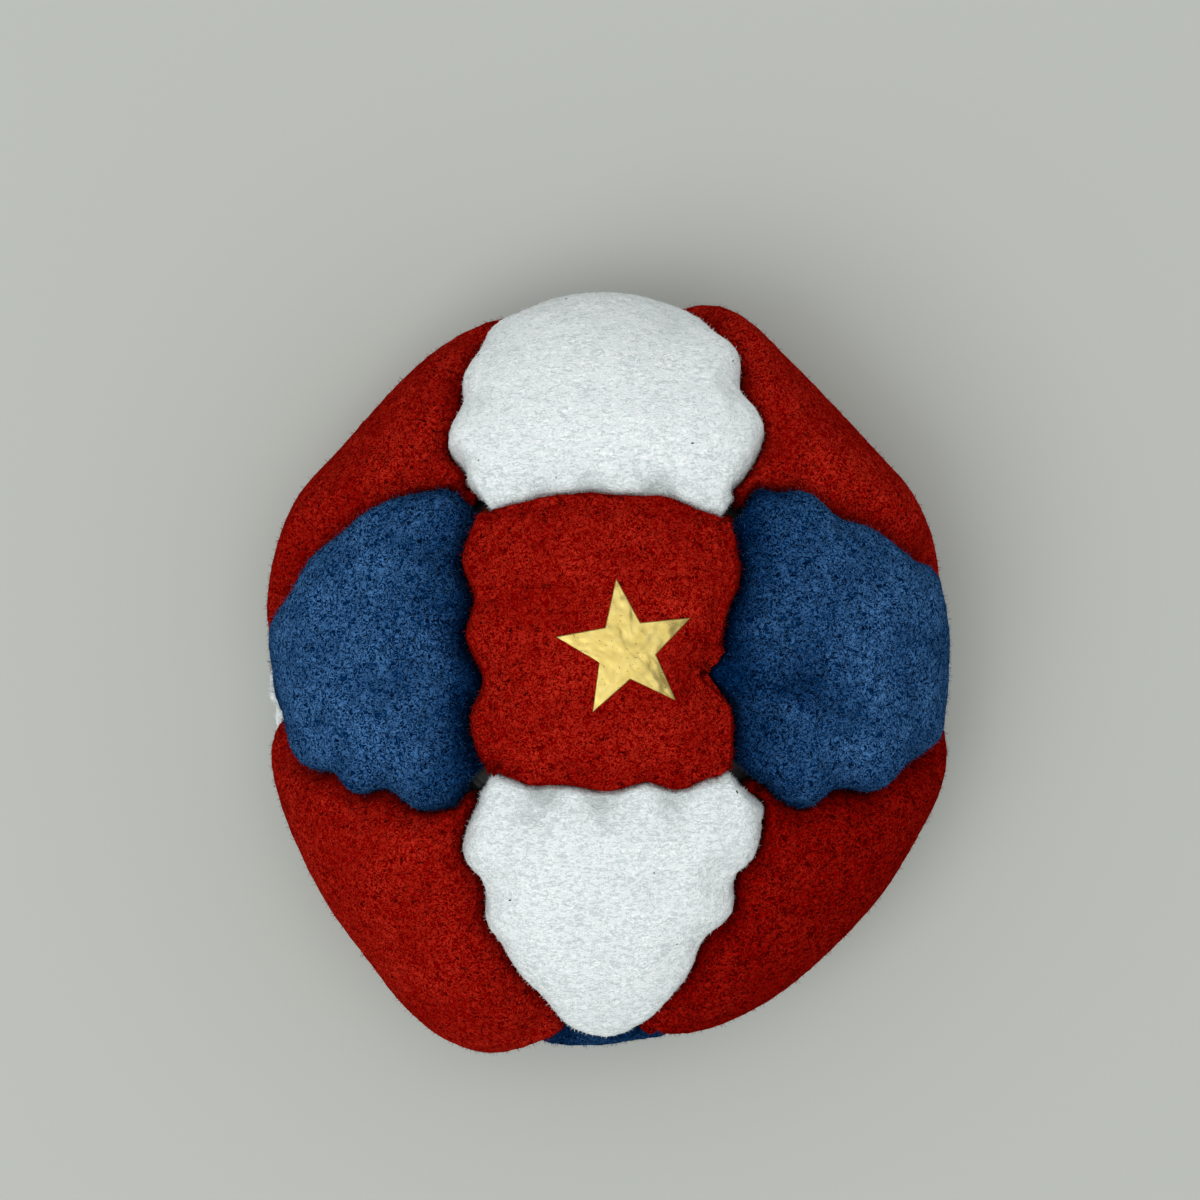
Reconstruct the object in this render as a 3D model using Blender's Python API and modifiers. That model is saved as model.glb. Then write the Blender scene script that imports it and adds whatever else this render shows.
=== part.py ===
"""A sewn footbag of fourteen suede panels, lying flattened under its own weight.

Metres, +Z up. The origin lies under the middle of the bag, on the surface that carries it.
+Y is the longer side. The names call +Y the back, -Y the front, -X the left and +X the right.

Six square and eight triangular panels meet four at a corner, as on a cuboctahedron. Each panel
is a puffed shell with its edges turned in. A thread run closes each of the 24 seams, and loose
pellets fill the bag.
"""

import math

import bmesh
import bpy
from mathutils import Vector

# The bag as it lies: the crowns of the panels touch this envelope.
ENVELOPE_WIDTH = 0.0626
ENVELOPE_LENGTH = 0.0686
HEIGHT = 0.0290
WIDEST_HEIGHT = 0.0130
# The envelope's underside would reach this far below the table: the bag is flat there instead.
SAG = 0.0013
# Where the envelope's middle lies, so that the uneven outline is centred on the origin.
MIDDLE_ACROSS = -0.00007
MIDDLE_ALONG = -0.00037

# The suede and how it is sewn.
WALL = 0.0009
# A panel drops this far into its seams, on top of its dome's own fall from the middle.
CROWN = 0.0030
DOME = 0.0010
# Over this width it drops: the side squares lie slacker than the other panels.
RIM_WIDTH = 0.0014
SIDE_RIM_WIDTH = 0.0036
SEAM_ALLOWANCE = 0.0017
SEAM_GAP = 0.0004
CORNER_GAP = 0.0003
THREAD_DIAMETER = 0.0005
# Free space between one sewn piece and the next, and between the fill and the suede.
CLEARANCE = 0.0005
FILL_CLEARANCE = 0.0006

# How square the side view is: 2 is an ellipse.
PROFILE_POWER = 2.35
# How flat a panel's dome is in the middle, and how round its rim is.
DOME_POWER = 2.4
RIM_POWER = 2
# How quickly a seam's own shift fades across a panel, and how short its corner gap is.
FADE_POWER = 3
CORNER_POWER = 8
BOW_POWER = 0.75

# The way into the bag leads to a flat core, this large against the outline.
CORE_SHARE = 0.6
# Plan outline against an ellipse, at even steps from +X towards +Y.
OUTLINE_SHARES = (
    0.985, 0.990, 0.986, 0.984, 0.950, 0.941, 0.963, 1.010, 0.990, 0.998, 0.994, 0.976,
    0.967, 0.952, 0.948, 0.991, 0.997, 0.998, 0.974, 0.982, 0.990, 0.992, 0.998, 1.008,
    1.046, 1.055, 0.996, 0.967, 0.966, 0.965, 0.959, 0.952, 0.960, 0.967, 0.987, 0.990)
# A seam bows out of its triangle by this share of its length: round the sides, top and bottom.
SIDE_BOW_SHARE = 0.07
FACE_BOW_SHARE = 0.03
# Rows lie closer at a panel's rim: 0 spaces them evenly, 1 along a half circle.
RIM_ROWS_SHARE = 0.5
# A triangle's height against its side.
TRIANGLE_HEIGHT_SHARE = math.sqrt(3) / 2
# The groove for the seam allowances in the fill, against what stands in it.
GROOVE_FLOOR_SHARE = 2.0
GROOVE_RIM_SHARE = 4.2
# Step for a slope, against the height.
SLOPE_STEP_SHARE = 0.001

SEGMENTS = 12
# A thread ends this many rows short of its corners.
THREAD_ROWS_SHORT = 2

# Directions of the corners from the middle, in shares of the half width, half length and height.
# The bag lies rolled a little towards the back, and the lower corners face the upper ones.
TOP_CORNER_SHARES = {
    "top_back_left": (-0.367, 0.436, 0.79),
    "top_back_right": (0.354, 0.421, 0.80),
    "top_front_left": (-0.348, -0.262, 0.855),
    "top_front_right": (0.358, -0.249, 0.855),
}
SIDE_CORNER_SHARES = {
    "back": (-0.03, 1.0, -0.46),
    "front": (-0.03, -1.0, 0.46),
    "left": (-1.0, -0.045, -0.02),
    "right": (1.0, 0.02, -0.32),
}
ACROSS = {
    "bottom_front_right": "top_back_left",
    "bottom_front_left": "top_back_right",
    "bottom_back_right": "top_front_left",
    "bottom_back_left": "top_front_right",
}

# Corners of each panel, counter-clockwise from outside.
SQUARES = {
    "top": ("top_back_left", "top_front_left", "top_front_right", "top_back_right"),
    "bottom": ("bottom_front_left", "bottom_back_left", "bottom_back_right", "bottom_front_right"),
    "back_left": ("back", "bottom_back_left", "left", "top_back_left"),
    "back_right": ("back", "top_back_right", "right", "bottom_back_right"),
    "front_left": ("front", "top_front_left", "left", "bottom_front_left"),
    "front_right": ("front", "bottom_front_right", "right", "top_front_right"),
}
TRIANGLES = {
    "upper_back": ("back", "top_back_left", "top_back_right"),
    "upper_front": ("front", "top_front_right", "top_front_left"),
    "upper_left": ("left", "top_front_left", "top_back_left"),
    "upper_right": ("right", "top_back_right", "top_front_right"),
    "lower_back": ("back", "bottom_back_right", "bottom_back_left"),
    "lower_front": ("front", "bottom_front_left", "bottom_front_right"),
    "lower_left": ("left", "bottom_back_left", "bottom_front_left"),
    "lower_right": ("right", "bottom_front_right", "bottom_back_right"),
}
WHITE_TRIANGLES = ("upper_back", "upper_front", "lower_left", "lower_right")

# Seams that bow out of their triangle by another share of their length.
OWN_BOW_SHARES = {
    ("top_back_left", "top_back_right"): 0.02,
    ("top_back_right", "back"): 0.095,
    ("back", "top_back_left"): 0.115,
    ("top_front_right", "top_front_left"): 0.0,
    ("top_front_left", "front"): 0.10,
    ("front", "top_front_right"): 0.12,
    ("top_front_left", "top_back_left"): 0.0,
    ("top_back_left", "left"): 0.065,
    ("left", "top_front_left"): 0.065,
    ("top_back_right", "top_front_right"): 0.07,
    ("top_front_right", "right"): 0.08,
    ("right", "top_back_right"): 0.03,
}

# Linear colours, roughness and metallic value of each material.
RED = (0.258, 0.0065, 0.0045)
BLUE = (0.013, 0.050, 0.130)
WHITE = (0.72, 0.77, 0.76)
THREAD_GREY = (0.045, 0.045, 0.05)
PELLET_GREY = (0.48, 0.47, 0.44)
SUEDE_ROUGHNESS = 0.95
THREAD_ROUGHNESS = 0.7
PELLET_ROUGHNESS = 0.45

MIDDLE = Vector((MIDDLE_ACROSS, MIDDLE_ALONG, WIDEST_HEIGHT))
HALF_WIDTH = ENVELOPE_WIDTH / 2
HALF_LENGTH = ENVELOPE_LENGTH / 2
UPPER_HEIGHT = HEIGHT - WIDEST_HEIGHT
LOWER_HEIGHT = WIDEST_HEIGHT + SAG
SEAM_DEPTH = CROWN + DOME
SLOPE_STEP = HEIGHT * SLOPE_STEP_SHARE


def clear_scene():
    """Remove whatever the open file holds."""
    for item in list(bpy.data.objects):
        bpy.data.objects.remove(item, do_unlink=True)


def make_material(name, colour, roughness):
    """Make a plain Principled material."""
    material = bpy.data.materials.new(name)
    material.use_nodes = True
    shader = material.node_tree.nodes["Principled BSDF"]
    shader.inputs["Base Color"].default_value = (*colour, 1)
    shader.inputs["Roughness"].default_value = roughness
    shader.inputs["Metallic"].default_value = 0
    material.diffuse_color = (*colour, 1)
    return material


def outline_radius(azimuth):
    """Plan radius of the envelope at its widest height, on a smooth curve through the shares."""
    steps = len(OUTLINE_SHARES)
    place = (azimuth / math.tau * steps) % steps
    step = int(place)
    part = place - step
    before, here, after, beyond = (OUTLINE_SHARES[(step + ahead) % steps] for ahead in (-1, 0, 1, 2))
    third = 3 * (here - after) + beyond - before
    second = 2 * before - 5 * here + 4 * after - beyond
    share = here + part / 2 * (after - before + part * (second + part * third))
    return share / math.hypot(math.cos(azimuth) / HALF_WIDTH, math.sin(azimuth) / HALF_LENGTH)


def envelope_level(point):
    """How far out a point lies: 1 on the envelope, less inside."""
    offset = point - MIDDLE
    azimuth = math.atan2(offset.y, offset.x)
    across = math.hypot(offset.x, offset.y) / outline_radius(azimuth)
    half_height = UPPER_HEIGHT if offset.z > 0 else LOWER_HEIGHT
    upward = abs(offset.z) / half_height
    return (across ** PROFILE_POWER + upward ** PROFILE_POWER) ** (1 / PROFILE_POWER)


def on_envelope(point):
    """Push a point out from the middle to the envelope."""
    return MIDDLE + (point - MIDDLE) / envelope_level(point)


def outward(point):
    """Unit vector out of the bag at a point, away from its flat core."""
    offset = point - MIDDLE
    core = outline_radius(math.atan2(offset.y, offset.x)) * CORE_SHARE
    reach = math.hypot(offset.x, offset.y)
    draw = 1 - 1 / math.hypot(1, reach / core)
    return Vector((offset.x * draw, offset.y * draw, offset.z)).normalized()


def corner_places():
    """Place of each of the twelve corners on the envelope."""
    shares = dict(TOP_CORNER_SHARES)
    shares.update(SIDE_CORNER_SHARES)
    for lower, upper in ACROSS.items():
        shares[lower] = tuple(-share for share in TOP_CORNER_SHARES[upper])
    places = {}
    for name, (across, along, up) in shares.items():
        half_height = UPPER_HEIGHT if up > 0 else LOWER_HEIGHT
        direction = Vector((across * HALF_WIDTH, along * HALF_LENGTH, up * half_height))
        places[name] = on_envelope(MIDDLE + direction)
    return places


def rim_spacing(share):
    """Draw evenly spaced rows towards both ends of the range from 0 to 1."""
    circle = (1 - math.cos(math.pi * share)) / 2
    return share + (circle - share) * RIM_ROWS_SHARE


class Seam:
    """The line in which two panels meet, from one corner to the next."""

    def __init__(self, start, end, bow_share):
        self.start = start
        self.end = end
        self.length = (end - start).length
        self.bow = bow_share * self.length

    def straight(self, share):
        """Point on the envelope before the seam bows."""
        return on_envelope(self.start.lerp(self.end, share))

    def sideways(self, share):
        """Unit vector along the envelope, to the right of the seam from outside."""
        run = self.straight(share + SLOPE_STEP_SHARE) - self.straight(share - SLOPE_STEP_SHARE)
        return run.cross(outward(self.straight(share))).normalized()

    def bow_shift(self, share):
        """Sideways move from the straight seam to the bowed one."""
        arch = max(math.sin(math.pi * share), 0)
        return self.sideways(share) * self.bow * arch ** BOW_POWER

    def gap_shift(self, share):
        """Sideways move from the bowed seam to the edge of the panel on its right."""
        arch = max(math.sin(math.pi * share), 0)
        return self.sideways(share) * (SEAM_GAP / 2 + CORNER_GAP * (1 - arch) ** CORNER_POWER)

    def point(self, share):
        """Point on the envelope over the bowed seam."""
        return on_envelope(self.straight(share) + self.bow_shift(share))


def make_seams(places):
    """Make the 24 seams. Each follows an edge of one triangle, so it bows out of that one."""
    seams = {}
    for corners in TRIANGLES.values():
        for start, end in zip(corners, corners[1:] + corners[:1]):
            on_face = start.split("_")[0] == end.split("_")[0]
            share = FACE_BOW_SHARE if on_face else SIDE_BOW_SHARE
            share = OWN_BOW_SHARES.get((start, end), share)
            seams[start, end] = Seam(places[start], places[end], share)
    return seams


class Panel:
    """One puffed panel, laid out by shares of its corners."""

    def __init__(self, corners, places, seams, rim_width):
        self.rim_width = rim_width
        self.corners = [places[name] for name in corners]
        self.edges = []
        for start, end in zip(corners, corners[1:] + corners[:1]):
            own = (start, end) in seams
            seam = seams[start, end] if own else seams[end, start]
            self.edges.append((seam, own))

    def distances(self, weights):
        """For each edge, how far a point lies along it and how far in from it."""
        count = len(self.corners)
        reach = 1 if count == 4 else TRIANGLE_HEIGHT_SHARE
        found = []
        for index in range(count):
            near = weights[index] + weights[(index + 1) % count]
            along = weights[(index + 1) % count] / near if near > 0 else 0.5
            found.append((along, (1 - near) * reach))
        return found

    def crown(self, weights):
        """Share of the crown that a point reaches: 0 at the seams, 1 past the rims."""
        share = 1
        for (seam, _), (_, inward) in zip(self.edges, self.distances(weights)):
            near = min(max(1 - inward * seam.length / self.rim_width, 0), 1)
            share *= (1 - near ** RIM_POWER) ** (1 / RIM_POWER)
        return share

    def dome(self, weights):
        """Share of the dome that a point reaches: 0 at the seams, 1 in the middle."""
        even = [1 / len(weights)] * len(weights)
        heights = []
        for shares in (weights, even):
            height = 1
            for _, inward in self.distances(shares):
                height *= 1 - (1 - min(max(inward, 0), 1)) ** DOME_POWER
            heights.append(height)
        return min(heights[0] / heights[1], 1)

    def depth(self, weights):
        """How deep the outer face lies under the envelope."""
        return CROWN * (1 - self.crown(weights)) + DOME * (1 - self.dome(weights))

    def over(self, weights):
        """Point on the envelope over a point of the panel, with its seams bowed."""
        point = Vector((0, 0, 0))
        for corner, weight in zip(self.corners, weights):
            point += corner * weight
        point = on_envelope(point)
        for (seam, own), (along, inward) in zip(self.edges, self.distances(weights)):
            if inward < 1:
                share = along if own else 1 - along
                point += seam.bow_shift(share) * (1 - inward) ** FADE_POWER
        return on_envelope(point)

    def drawn_in(self, weights):
        """Move from the envelope that keeps the panel clear of its neighbours."""
        move = Vector((0, 0, 0))
        for (seam, own), (along, inward) in zip(self.edges, self.distances(weights)):
            if inward < 1:
                share = along if own else 1 - along
                side = -1 if own else 1
                move += seam.gap_shift(share) * side * (1 - inward) ** FADE_POWER
        return move

    def surface(self, weights):
        """Outer face of the suede, and the way out of it."""
        point = self.over(weights)
        way_out = outward(point)
        point += self.drawn_in(weights) - way_out * self.depth(weights)
        point.z = max(point.z, 0)
        return point, way_out

    def fill_surface(self, weights):
        """Face of the fill under the panel, with a groove that clears the seam allowances."""
        point = self.over(weights)
        standing = SEAM_GAP / 2 + WALL + CLEARANCE
        depth = self.depth(weights) + WALL + FILL_CLEARANCE
        floor = SEAM_DEPTH + SEAM_ALLOWANCE + WALL + CLEARANCE
        groove = 0
        for (seam, _), (_, inward) in zip(self.edges, self.distances(weights)):
            past = inward * seam.length / standing
            slope = (GROOVE_RIM_SHARE - past) / (GROOVE_RIM_SHARE - GROOVE_FLOOR_SHARE)
            groove = max(groove, min(slope, 1))
        point = point - outward(point) * (depth + (floor - depth) * groove)
        point.z = max(point.z, WALL + FILL_CLEARANCE)
        return point


def grid_of(count):
    """Flat net of a panel: a mesh, and the shares of the corners at each of its vertices."""
    net = bmesh.new()
    if count == 4:
        bmesh.ops.create_grid(net, x_segments=SEGMENTS, y_segments=SEGMENTS, size=0.5)
        shares = {}
        for vertex in net.verts:
            across = rim_spacing(vertex.co.x + 0.5)
            along = rim_spacing(vertex.co.y + 0.5)
            shares[vertex] = ((1 - across) * (1 - along), across * (1 - along),
                              across * along, (1 - across) * along)
        return net, shares
    tips = [net.verts.new(tip) for tip in ((1, 0, 0), (0, 1, 0), (0, 0, 1))]
    net.faces.new(tips)
    bmesh.ops.subdivide_edges(net, edges=net.edges[:], cuts=SEGMENTS - 1, use_grid_fill=True)
    shares = {}
    for vertex in net.verts:
        spaced = [rim_spacing(share) for share in vertex.co]
        shares[vertex] = tuple(share / sum(spaced) for share in spaced)
    return net, shares


def face_outward(net):
    """Turn the faces of an open or closed net away from the middle of the bag."""
    bmesh.ops.recalc_face_normals(net, faces=net.faces)
    facing = sum(face.normal.dot(face.calc_center_median() - MIDDLE) * face.calc_area()
                 for face in net.faces)
    if facing < 0:
        bmesh.ops.reverse_faces(net, faces=net.faces)


def add_object(name, data, collection, material):
    """Put an object with its own material in the bag's collection."""
    data.materials.append(material)
    item = bpy.data.objects.new(name, data)
    collection.objects.link(item)
    return item


def add_panel(name, panel, collection, material):
    """Model one panel: its puffed face, its turned-in edges and its thickness."""
    net, shares = grid_of(len(panel.corners))
    ways_out = {}
    for vertex, weights in shares.items():
        vertex.co, ways_out[vertex] = panel.surface(weights)
    rim = [edge for edge in net.edges if edge.is_boundary]
    turned = bmesh.ops.extrude_edge_only(net, edges=rim)["geom"]
    turned = [item for item in turned if isinstance(item, bmesh.types.BMVert)]
    for vertex in turned:
        above = next(edge.other_vert(vertex) for edge in vertex.link_edges
                     if edge.other_vert(vertex) in ways_out)
        vertex.co -= ways_out[above] * SEAM_ALLOWANCE
    face_outward(net)
    mesh = bpy.data.meshes.new(name)
    net.to_mesh(mesh)
    net.free()
    mesh.shade_smooth()
    item = add_object(name, mesh, collection, material)
    shell = item.modifiers.new("Suede", "SOLIDIFY")
    shell.thickness = WALL
    shell.offset = -1
    shell.use_even_offset = False


def thread_lift(panel, seam):
    """Height of a thread's middle over the floor of the seam's groove, clear of both sides."""
    row = rim_spacing(1 / SEGMENTS)
    inner = (1 - row) / 2
    weights = (inner, inner, row / 2, row / 2) if len(panel.corners) == 4 else (inner, inner, row)
    inward = row * seam.length * (1 if len(panel.corners) == 4 else TRIANGLE_HEIGHT_SHARE)
    rise = SEAM_DEPTH - panel.depth(weights)
    slant = math.hypot(inward, rise)
    return ((THREAD_DIAMETER / 2 + CLEARANCE) * slant - SEAM_GAP / 2 * rise) / inward


def add_thread(name, seam, lift, collection, material):
    """Model the thread run that lies in a seam's groove, a little short of each corner."""
    curve = bpy.data.curves.new(name, "CURVE")
    curve.dimensions = "3D"
    curve.bevel_depth = THREAD_DIAMETER / 2
    curve.bevel_resolution = 1
    curve.use_fill_caps = True
    run = curve.splines.new("POLY")
    run.points.add(SEGMENTS - 2 * THREAD_ROWS_SHORT)
    for index, knot in enumerate(run.points):
        over = seam.point(rim_spacing((index + THREAD_ROWS_SHORT) / SEGMENTS))
        place = over - outward(over) * (SEAM_DEPTH - lift)
        knot.co = (*place, 1)
    add_object(name, curve, collection, material)


def add_fill(panels, collection, material):
    """Model the loose pellets as the one body that they take up inside the bag."""
    fill = bmesh.new()
    for panel in panels.values():
        net, shares = grid_of(len(panel.corners))
        for vertex, weights in shares.items():
            vertex.co = panel.fill_surface(weights)
        patch = bpy.data.meshes.new("patch")
        net.to_mesh(patch)
        net.free()
        fill.from_mesh(patch)
        bpy.data.meshes.remove(patch)
    bmesh.ops.remove_doubles(fill, verts=fill.verts, dist=SLOPE_STEP)
    face_outward(fill)
    mesh = bpy.data.meshes.new("pellet_fill")
    fill.to_mesh(mesh)
    fill.free()
    mesh.shade_smooth()
    add_object("pellet_fill", mesh, collection, material)


def main():
    """Build the footbag."""
    clear_scene()
    collection = bpy.data.collections.new("footbag")
    bpy.context.scene.collection.children.link(collection)
    places = corner_places()
    seams = make_seams(places)
    panels = {}
    for name, corners in SQUARES.items():
        rim_width = RIM_WIDTH if name in ("top", "bottom") else SIDE_RIM_WIDTH
        panels["panel_square_" + name] = Panel(corners, places, seams, rim_width)
    for name, corners in TRIANGLES.items():
        panels["panel_triangle_" + name] = Panel(corners, places, seams, RIM_WIDTH)
    for name, panel in panels.items():
        colour = RED if "square" in name else BLUE
        if name.removeprefix("panel_triangle_") in WHITE_TRIANGLES:
            colour = WHITE
        add_panel(name, panel, collection, make_material(name, colour, SUEDE_ROUGHNESS))
    for (start, end), seam in seams.items():
        sides = [panel for panel in panels.values() if any(edge is seam for edge, _ in panel.edges)]
        lift = max(thread_lift(panel, seam) for panel in sides)
        name = "seam_thread_" + start + "_to_" + end
        add_thread(name, seam, lift, collection, make_material(name, THREAD_GREY, THREAD_ROUGHNESS))
    add_fill(panels, collection, make_material("pellet_fill", PELLET_GREY, PELLET_ROUGHNESS))


main()
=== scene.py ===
"""Looks of a sewn footbag of fourteen suede panels, lying flattened on a pale table.

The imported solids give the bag's place and size. Each panel's solid is replaced by a puffed piece
of suede whose edges follow the scalloped seams, with puckers where the stitches pull it in and a
raised nap. All lengths are in metres, +Z is up and +Y is the back of the bag.
"""

from __future__ import annotations

import itertools
import logging
import math
from collections.abc import Sequence
from dataclasses import dataclass
from enum import Enum

import bmesh
import bpy
import numpy as np
from mathutils import Euler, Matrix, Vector
from mathutils.bvhtree import BVHTree


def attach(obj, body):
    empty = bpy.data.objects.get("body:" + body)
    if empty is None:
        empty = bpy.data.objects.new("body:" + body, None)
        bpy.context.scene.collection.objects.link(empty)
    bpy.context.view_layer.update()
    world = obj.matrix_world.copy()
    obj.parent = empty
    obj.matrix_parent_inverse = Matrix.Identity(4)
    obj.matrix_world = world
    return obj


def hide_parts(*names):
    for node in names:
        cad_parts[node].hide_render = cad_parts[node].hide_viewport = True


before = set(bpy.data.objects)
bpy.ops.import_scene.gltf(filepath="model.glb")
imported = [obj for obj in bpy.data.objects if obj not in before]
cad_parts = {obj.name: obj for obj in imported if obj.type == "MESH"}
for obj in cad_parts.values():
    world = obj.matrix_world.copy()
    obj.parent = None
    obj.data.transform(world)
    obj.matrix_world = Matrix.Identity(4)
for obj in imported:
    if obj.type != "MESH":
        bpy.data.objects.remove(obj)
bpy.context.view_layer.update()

log = logging.getLogger("footbag")

MM = 0.001
# Shares smaller than this count as nothing.
TINY = 1e-9
# How far the face of a panel stays off the table.
OFF_TABLE = 0.02 * MM
# Large primes that scramble the numbers of a cell and a seed, for smooth noise.
CELL_PRIMES = (73856093, 19349663, 83492791)
SEED_PRIME = 2654435761
MIXING_PRIME = 1274126177
# Steps of a line of sight, from the top of the bag down to the table.
SIGHT_STEPS = 600
Array = np.ndarray


class Suede(Enum):
    """The three colours that the panels are cut from."""

    RED = "red_suede"
    BLUE = "blue_suede"
    WHITE = "white_suede"


@dataclass(frozen=True)
class PhotoView:
    """A camera that looks straight down, and the way from a pixel of the view to the bag.

    The pixel's size holds on the level of the bag's widest part. The middle is the pixel over
    the origin, and the sensor's width is in millimetres, as Blender takes it.
    """

    pixel: float = 0.0886 * MM
    middle_column: float = 609.2
    middle_row: float = 668.5
    frame_pixels: float = 1200.0
    level: float = 13.0 * MM
    distance: float = 320.0 * MM
    sensor: float = 36.0

    def place(self) -> Array:
        """Place of the camera, over the middle of the picture."""
        centre = self.frame_pixels / 2
        return self.on_level(centre, centre) + np.array([0, 0, self.distance])

    def lens(self) -> float:
        """Focal length that frames the picture, in millimetres."""
        return self.sensor * self.distance / (self.frame_pixels * self.pixel)

    def on_level(self, column: float, row: float) -> Array:
        """Point seen at a pixel, on the level of the bag's widest part.

        Args:
            column: pixels from the left of the picture.
            row: pixels from the top of the picture.

        Returns:
            The point.
        """
        across = (column - self.middle_column) * self.pixel
        along = (self.middle_row - row) * self.pixel
        return np.array([across, along, self.level])


def smooth_step(value: Array) -> Array:
    """Ease a value from 0 to 1 in and out."""
    value = np.clip(value, 0, 1)
    return value * value * (3 - 2 * value)


def smooth_noise(points: Array, scale: float, seed: int) -> Array:
    """Smooth noise in space, the same on each run.

    Args:
        points: places, one a row.
        scale: distance over which the noise changes.
        seed: whole number that picks the noise.

    Returns:
        One value from -1 to 1 for each place.
    """
    cells = points / scale
    base = np.floor(cells).astype(np.int64)
    fade = smooth_step(cells - base)
    total = np.zeros(len(points))
    for corner in itertools.product((0, 1), repeat=3):
        cell = base + np.array(corner)
        across, along, up = (cell * CELL_PRIMES).T
        code = (across ^ along ^ up ^ (seed * SEED_PRIME)) & 0xFFFFFFFF
        code = ((code ^ (code >> 13)) * MIXING_PRIME) & 0xFFFFFFFF
        value = ((code ^ (code >> 16)) & 0xFFFF) / 0x7FFF - 1
        weight = np.prod(np.where(corner, fade, 1 - fade), axis=1)
        total += weight * value
    return total


def layered_noise(points: Array, scale: float, seed: int) -> Array:
    """Smooth noise with half as much of a noise twice as fine laid over it."""
    return smooth_noise(points, scale, seed) + smooth_noise(points, scale / 2, seed + 1) / 2


def curve_through(knots: Array, values: Array, shares: Array) -> Array:
    """Smooth curve through given points.

    Args:
        knots: rising places of the points.
        values: heights of the points.
        shares: places to read the curve at.

    Returns:
        The curve's height at each place.
    """
    slopes = np.gradient(values, knots)
    after = np.clip(np.searchsorted(knots, shares), 1, len(knots) - 1)
    before = after - 1
    span = knots[after] - knots[before]
    part = np.clip((shares - knots[before]) / span, 0, 1)
    rise = smooth_step(part)
    bend = part * (1 - part) ** 2 * slopes[before] - part ** 2 * (1 - part) * slopes[after]
    return values[before] * (1 - rise) + values[after] * rise + bend * span


@dataclass(frozen=True)
class Envelope:
    """The smooth form that the crowns of all the panels touch, as in the solids."""

    width: float = 62.6 * MM
    length: float = 68.6 * MM
    height: float = 29.0 * MM
    widest_height: float = 13.0 * MM
    sag: float = 1.3 * MM
    profile_power: float = 2.35
    core_share: float = 0.6
    # Radius of the outline against that of an ellipse, every ten degrees from +X towards +Y.
    outline_shares: tuple[float, ...] = (
        0.985, 0.990, 0.986, 0.984, 0.950, 0.941, 0.963, 1.010, 0.990, 0.998, 0.994, 0.976,
        0.967, 0.952, 0.948, 0.991, 0.997, 0.998, 0.974, 0.982, 0.990, 0.992, 0.998, 1.008,
        1.046, 1.055, 0.996, 0.967, 0.966, 0.965, 0.959, 0.952, 0.960, 0.967, 0.987, 0.990)
    middle_across: float = -0.07 * MM
    middle_along: float = -0.37 * MM

    def middle(self) -> Array:
        """The point that the form is measured from."""
        return np.array([self.middle_across, self.middle_along, self.widest_height])

    def plan_radius(self, azimuth: Array) -> Array:
        """Radius of the outline at its widest height.

        Args:
            azimuth: angles from +X towards +Y.

        Returns:
            The radius at each angle.
        """
        shares = np.array(self.outline_shares)
        steps = len(shares)
        place = (azimuth / math.tau * steps) % steps
        step = np.floor(place).astype(int) % steps
        part = place - np.floor(place)
        near, after = shares[step], shares[(step + 1) % steps]
        before, beyond = shares[step - 1], shares[(step + 2) % steps]
        # A cubic that passes through each share and slopes there as its neighbours do.
        share = near + part / 2 * (after - before + part * (
            2 * before - 5 * near + 4 * after - beyond + part * (3 * (near - after)
                                                                 + beyond - before)))
        across = np.cos(azimuth) * 2 / self.width
        along = np.sin(azimuth) * 2 / self.length
        return share / np.hypot(across, along)

    def level(self, points: Array) -> Array:
        """How far out each point lies.

        Args:
            points: places, one a row.

        Returns:
            For each place 1 on the form, and less inside it.
        """
        offset = points - self.middle()
        azimuth = np.arctan2(offset[:, 1], offset[:, 0])
        across = np.hypot(offset[:, 0], offset[:, 1]) / self.plan_radius(azimuth)
        half_height = np.where(offset[:, 2] > 0, self.height - self.widest_height,
                               self.widest_height + self.sag)
        upward = np.abs(offset[:, 2]) / half_height
        power = self.profile_power
        return (across ** power + upward ** power) ** (1 / power)

    def onto(self, points: Array) -> Array:
        """Push points out from the middle, or in, to the form."""
        middle = self.middle()
        return middle + (points - middle) / self.level(points)[:, None]

    def outward(self, points: Array) -> Array:
        """Find the way out of the bag, away from its flat core.

        Args:
            points: places, one a row.

        Returns:
            A unit vector for each place.
        """
        offset = points - self.middle()
        core = self.plan_radius(np.arctan2(offset[:, 1], offset[:, 0])) * self.core_share
        reach = np.hypot(offset[:, 0], offset[:, 1])
        draw = 1 - 1 / np.hypot(1, reach / core)
        ways = np.stack([offset[:, 0] * draw, offset[:, 1] * draw, offset[:, 2]], axis=1)
        return ways / np.linalg.norm(ways, axis=1)[:, None]


# Directions of the corners from the middle, in shares of the half width, half length and height.
TOP_CORNER_SHARES = {
    "top_back_left": (-0.367, 0.436, 0.79),
    "top_back_right": (0.354, 0.421, 0.80),
    "top_front_left": (-0.348, -0.262, 0.855),
    "top_front_right": (0.358, -0.249, 0.855),
}
SIDE_CORNER_SHARES = {
    "back": (-0.03, 1.0, -0.46),
    "front": (-0.03, -1.0, 0.46),
    "left": (-1.0, -0.045, -0.02),
    "right": (1.0, 0.02, -0.32),
}
# Each corner of the bottom, and the corner of the top that lies across the middle from it.
ACROSS = {
    "bottom_front_right": "top_back_left",
    "bottom_front_left": "top_back_right",
    "bottom_back_right": "top_front_left",
    "bottom_back_left": "top_front_right",
}

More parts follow.
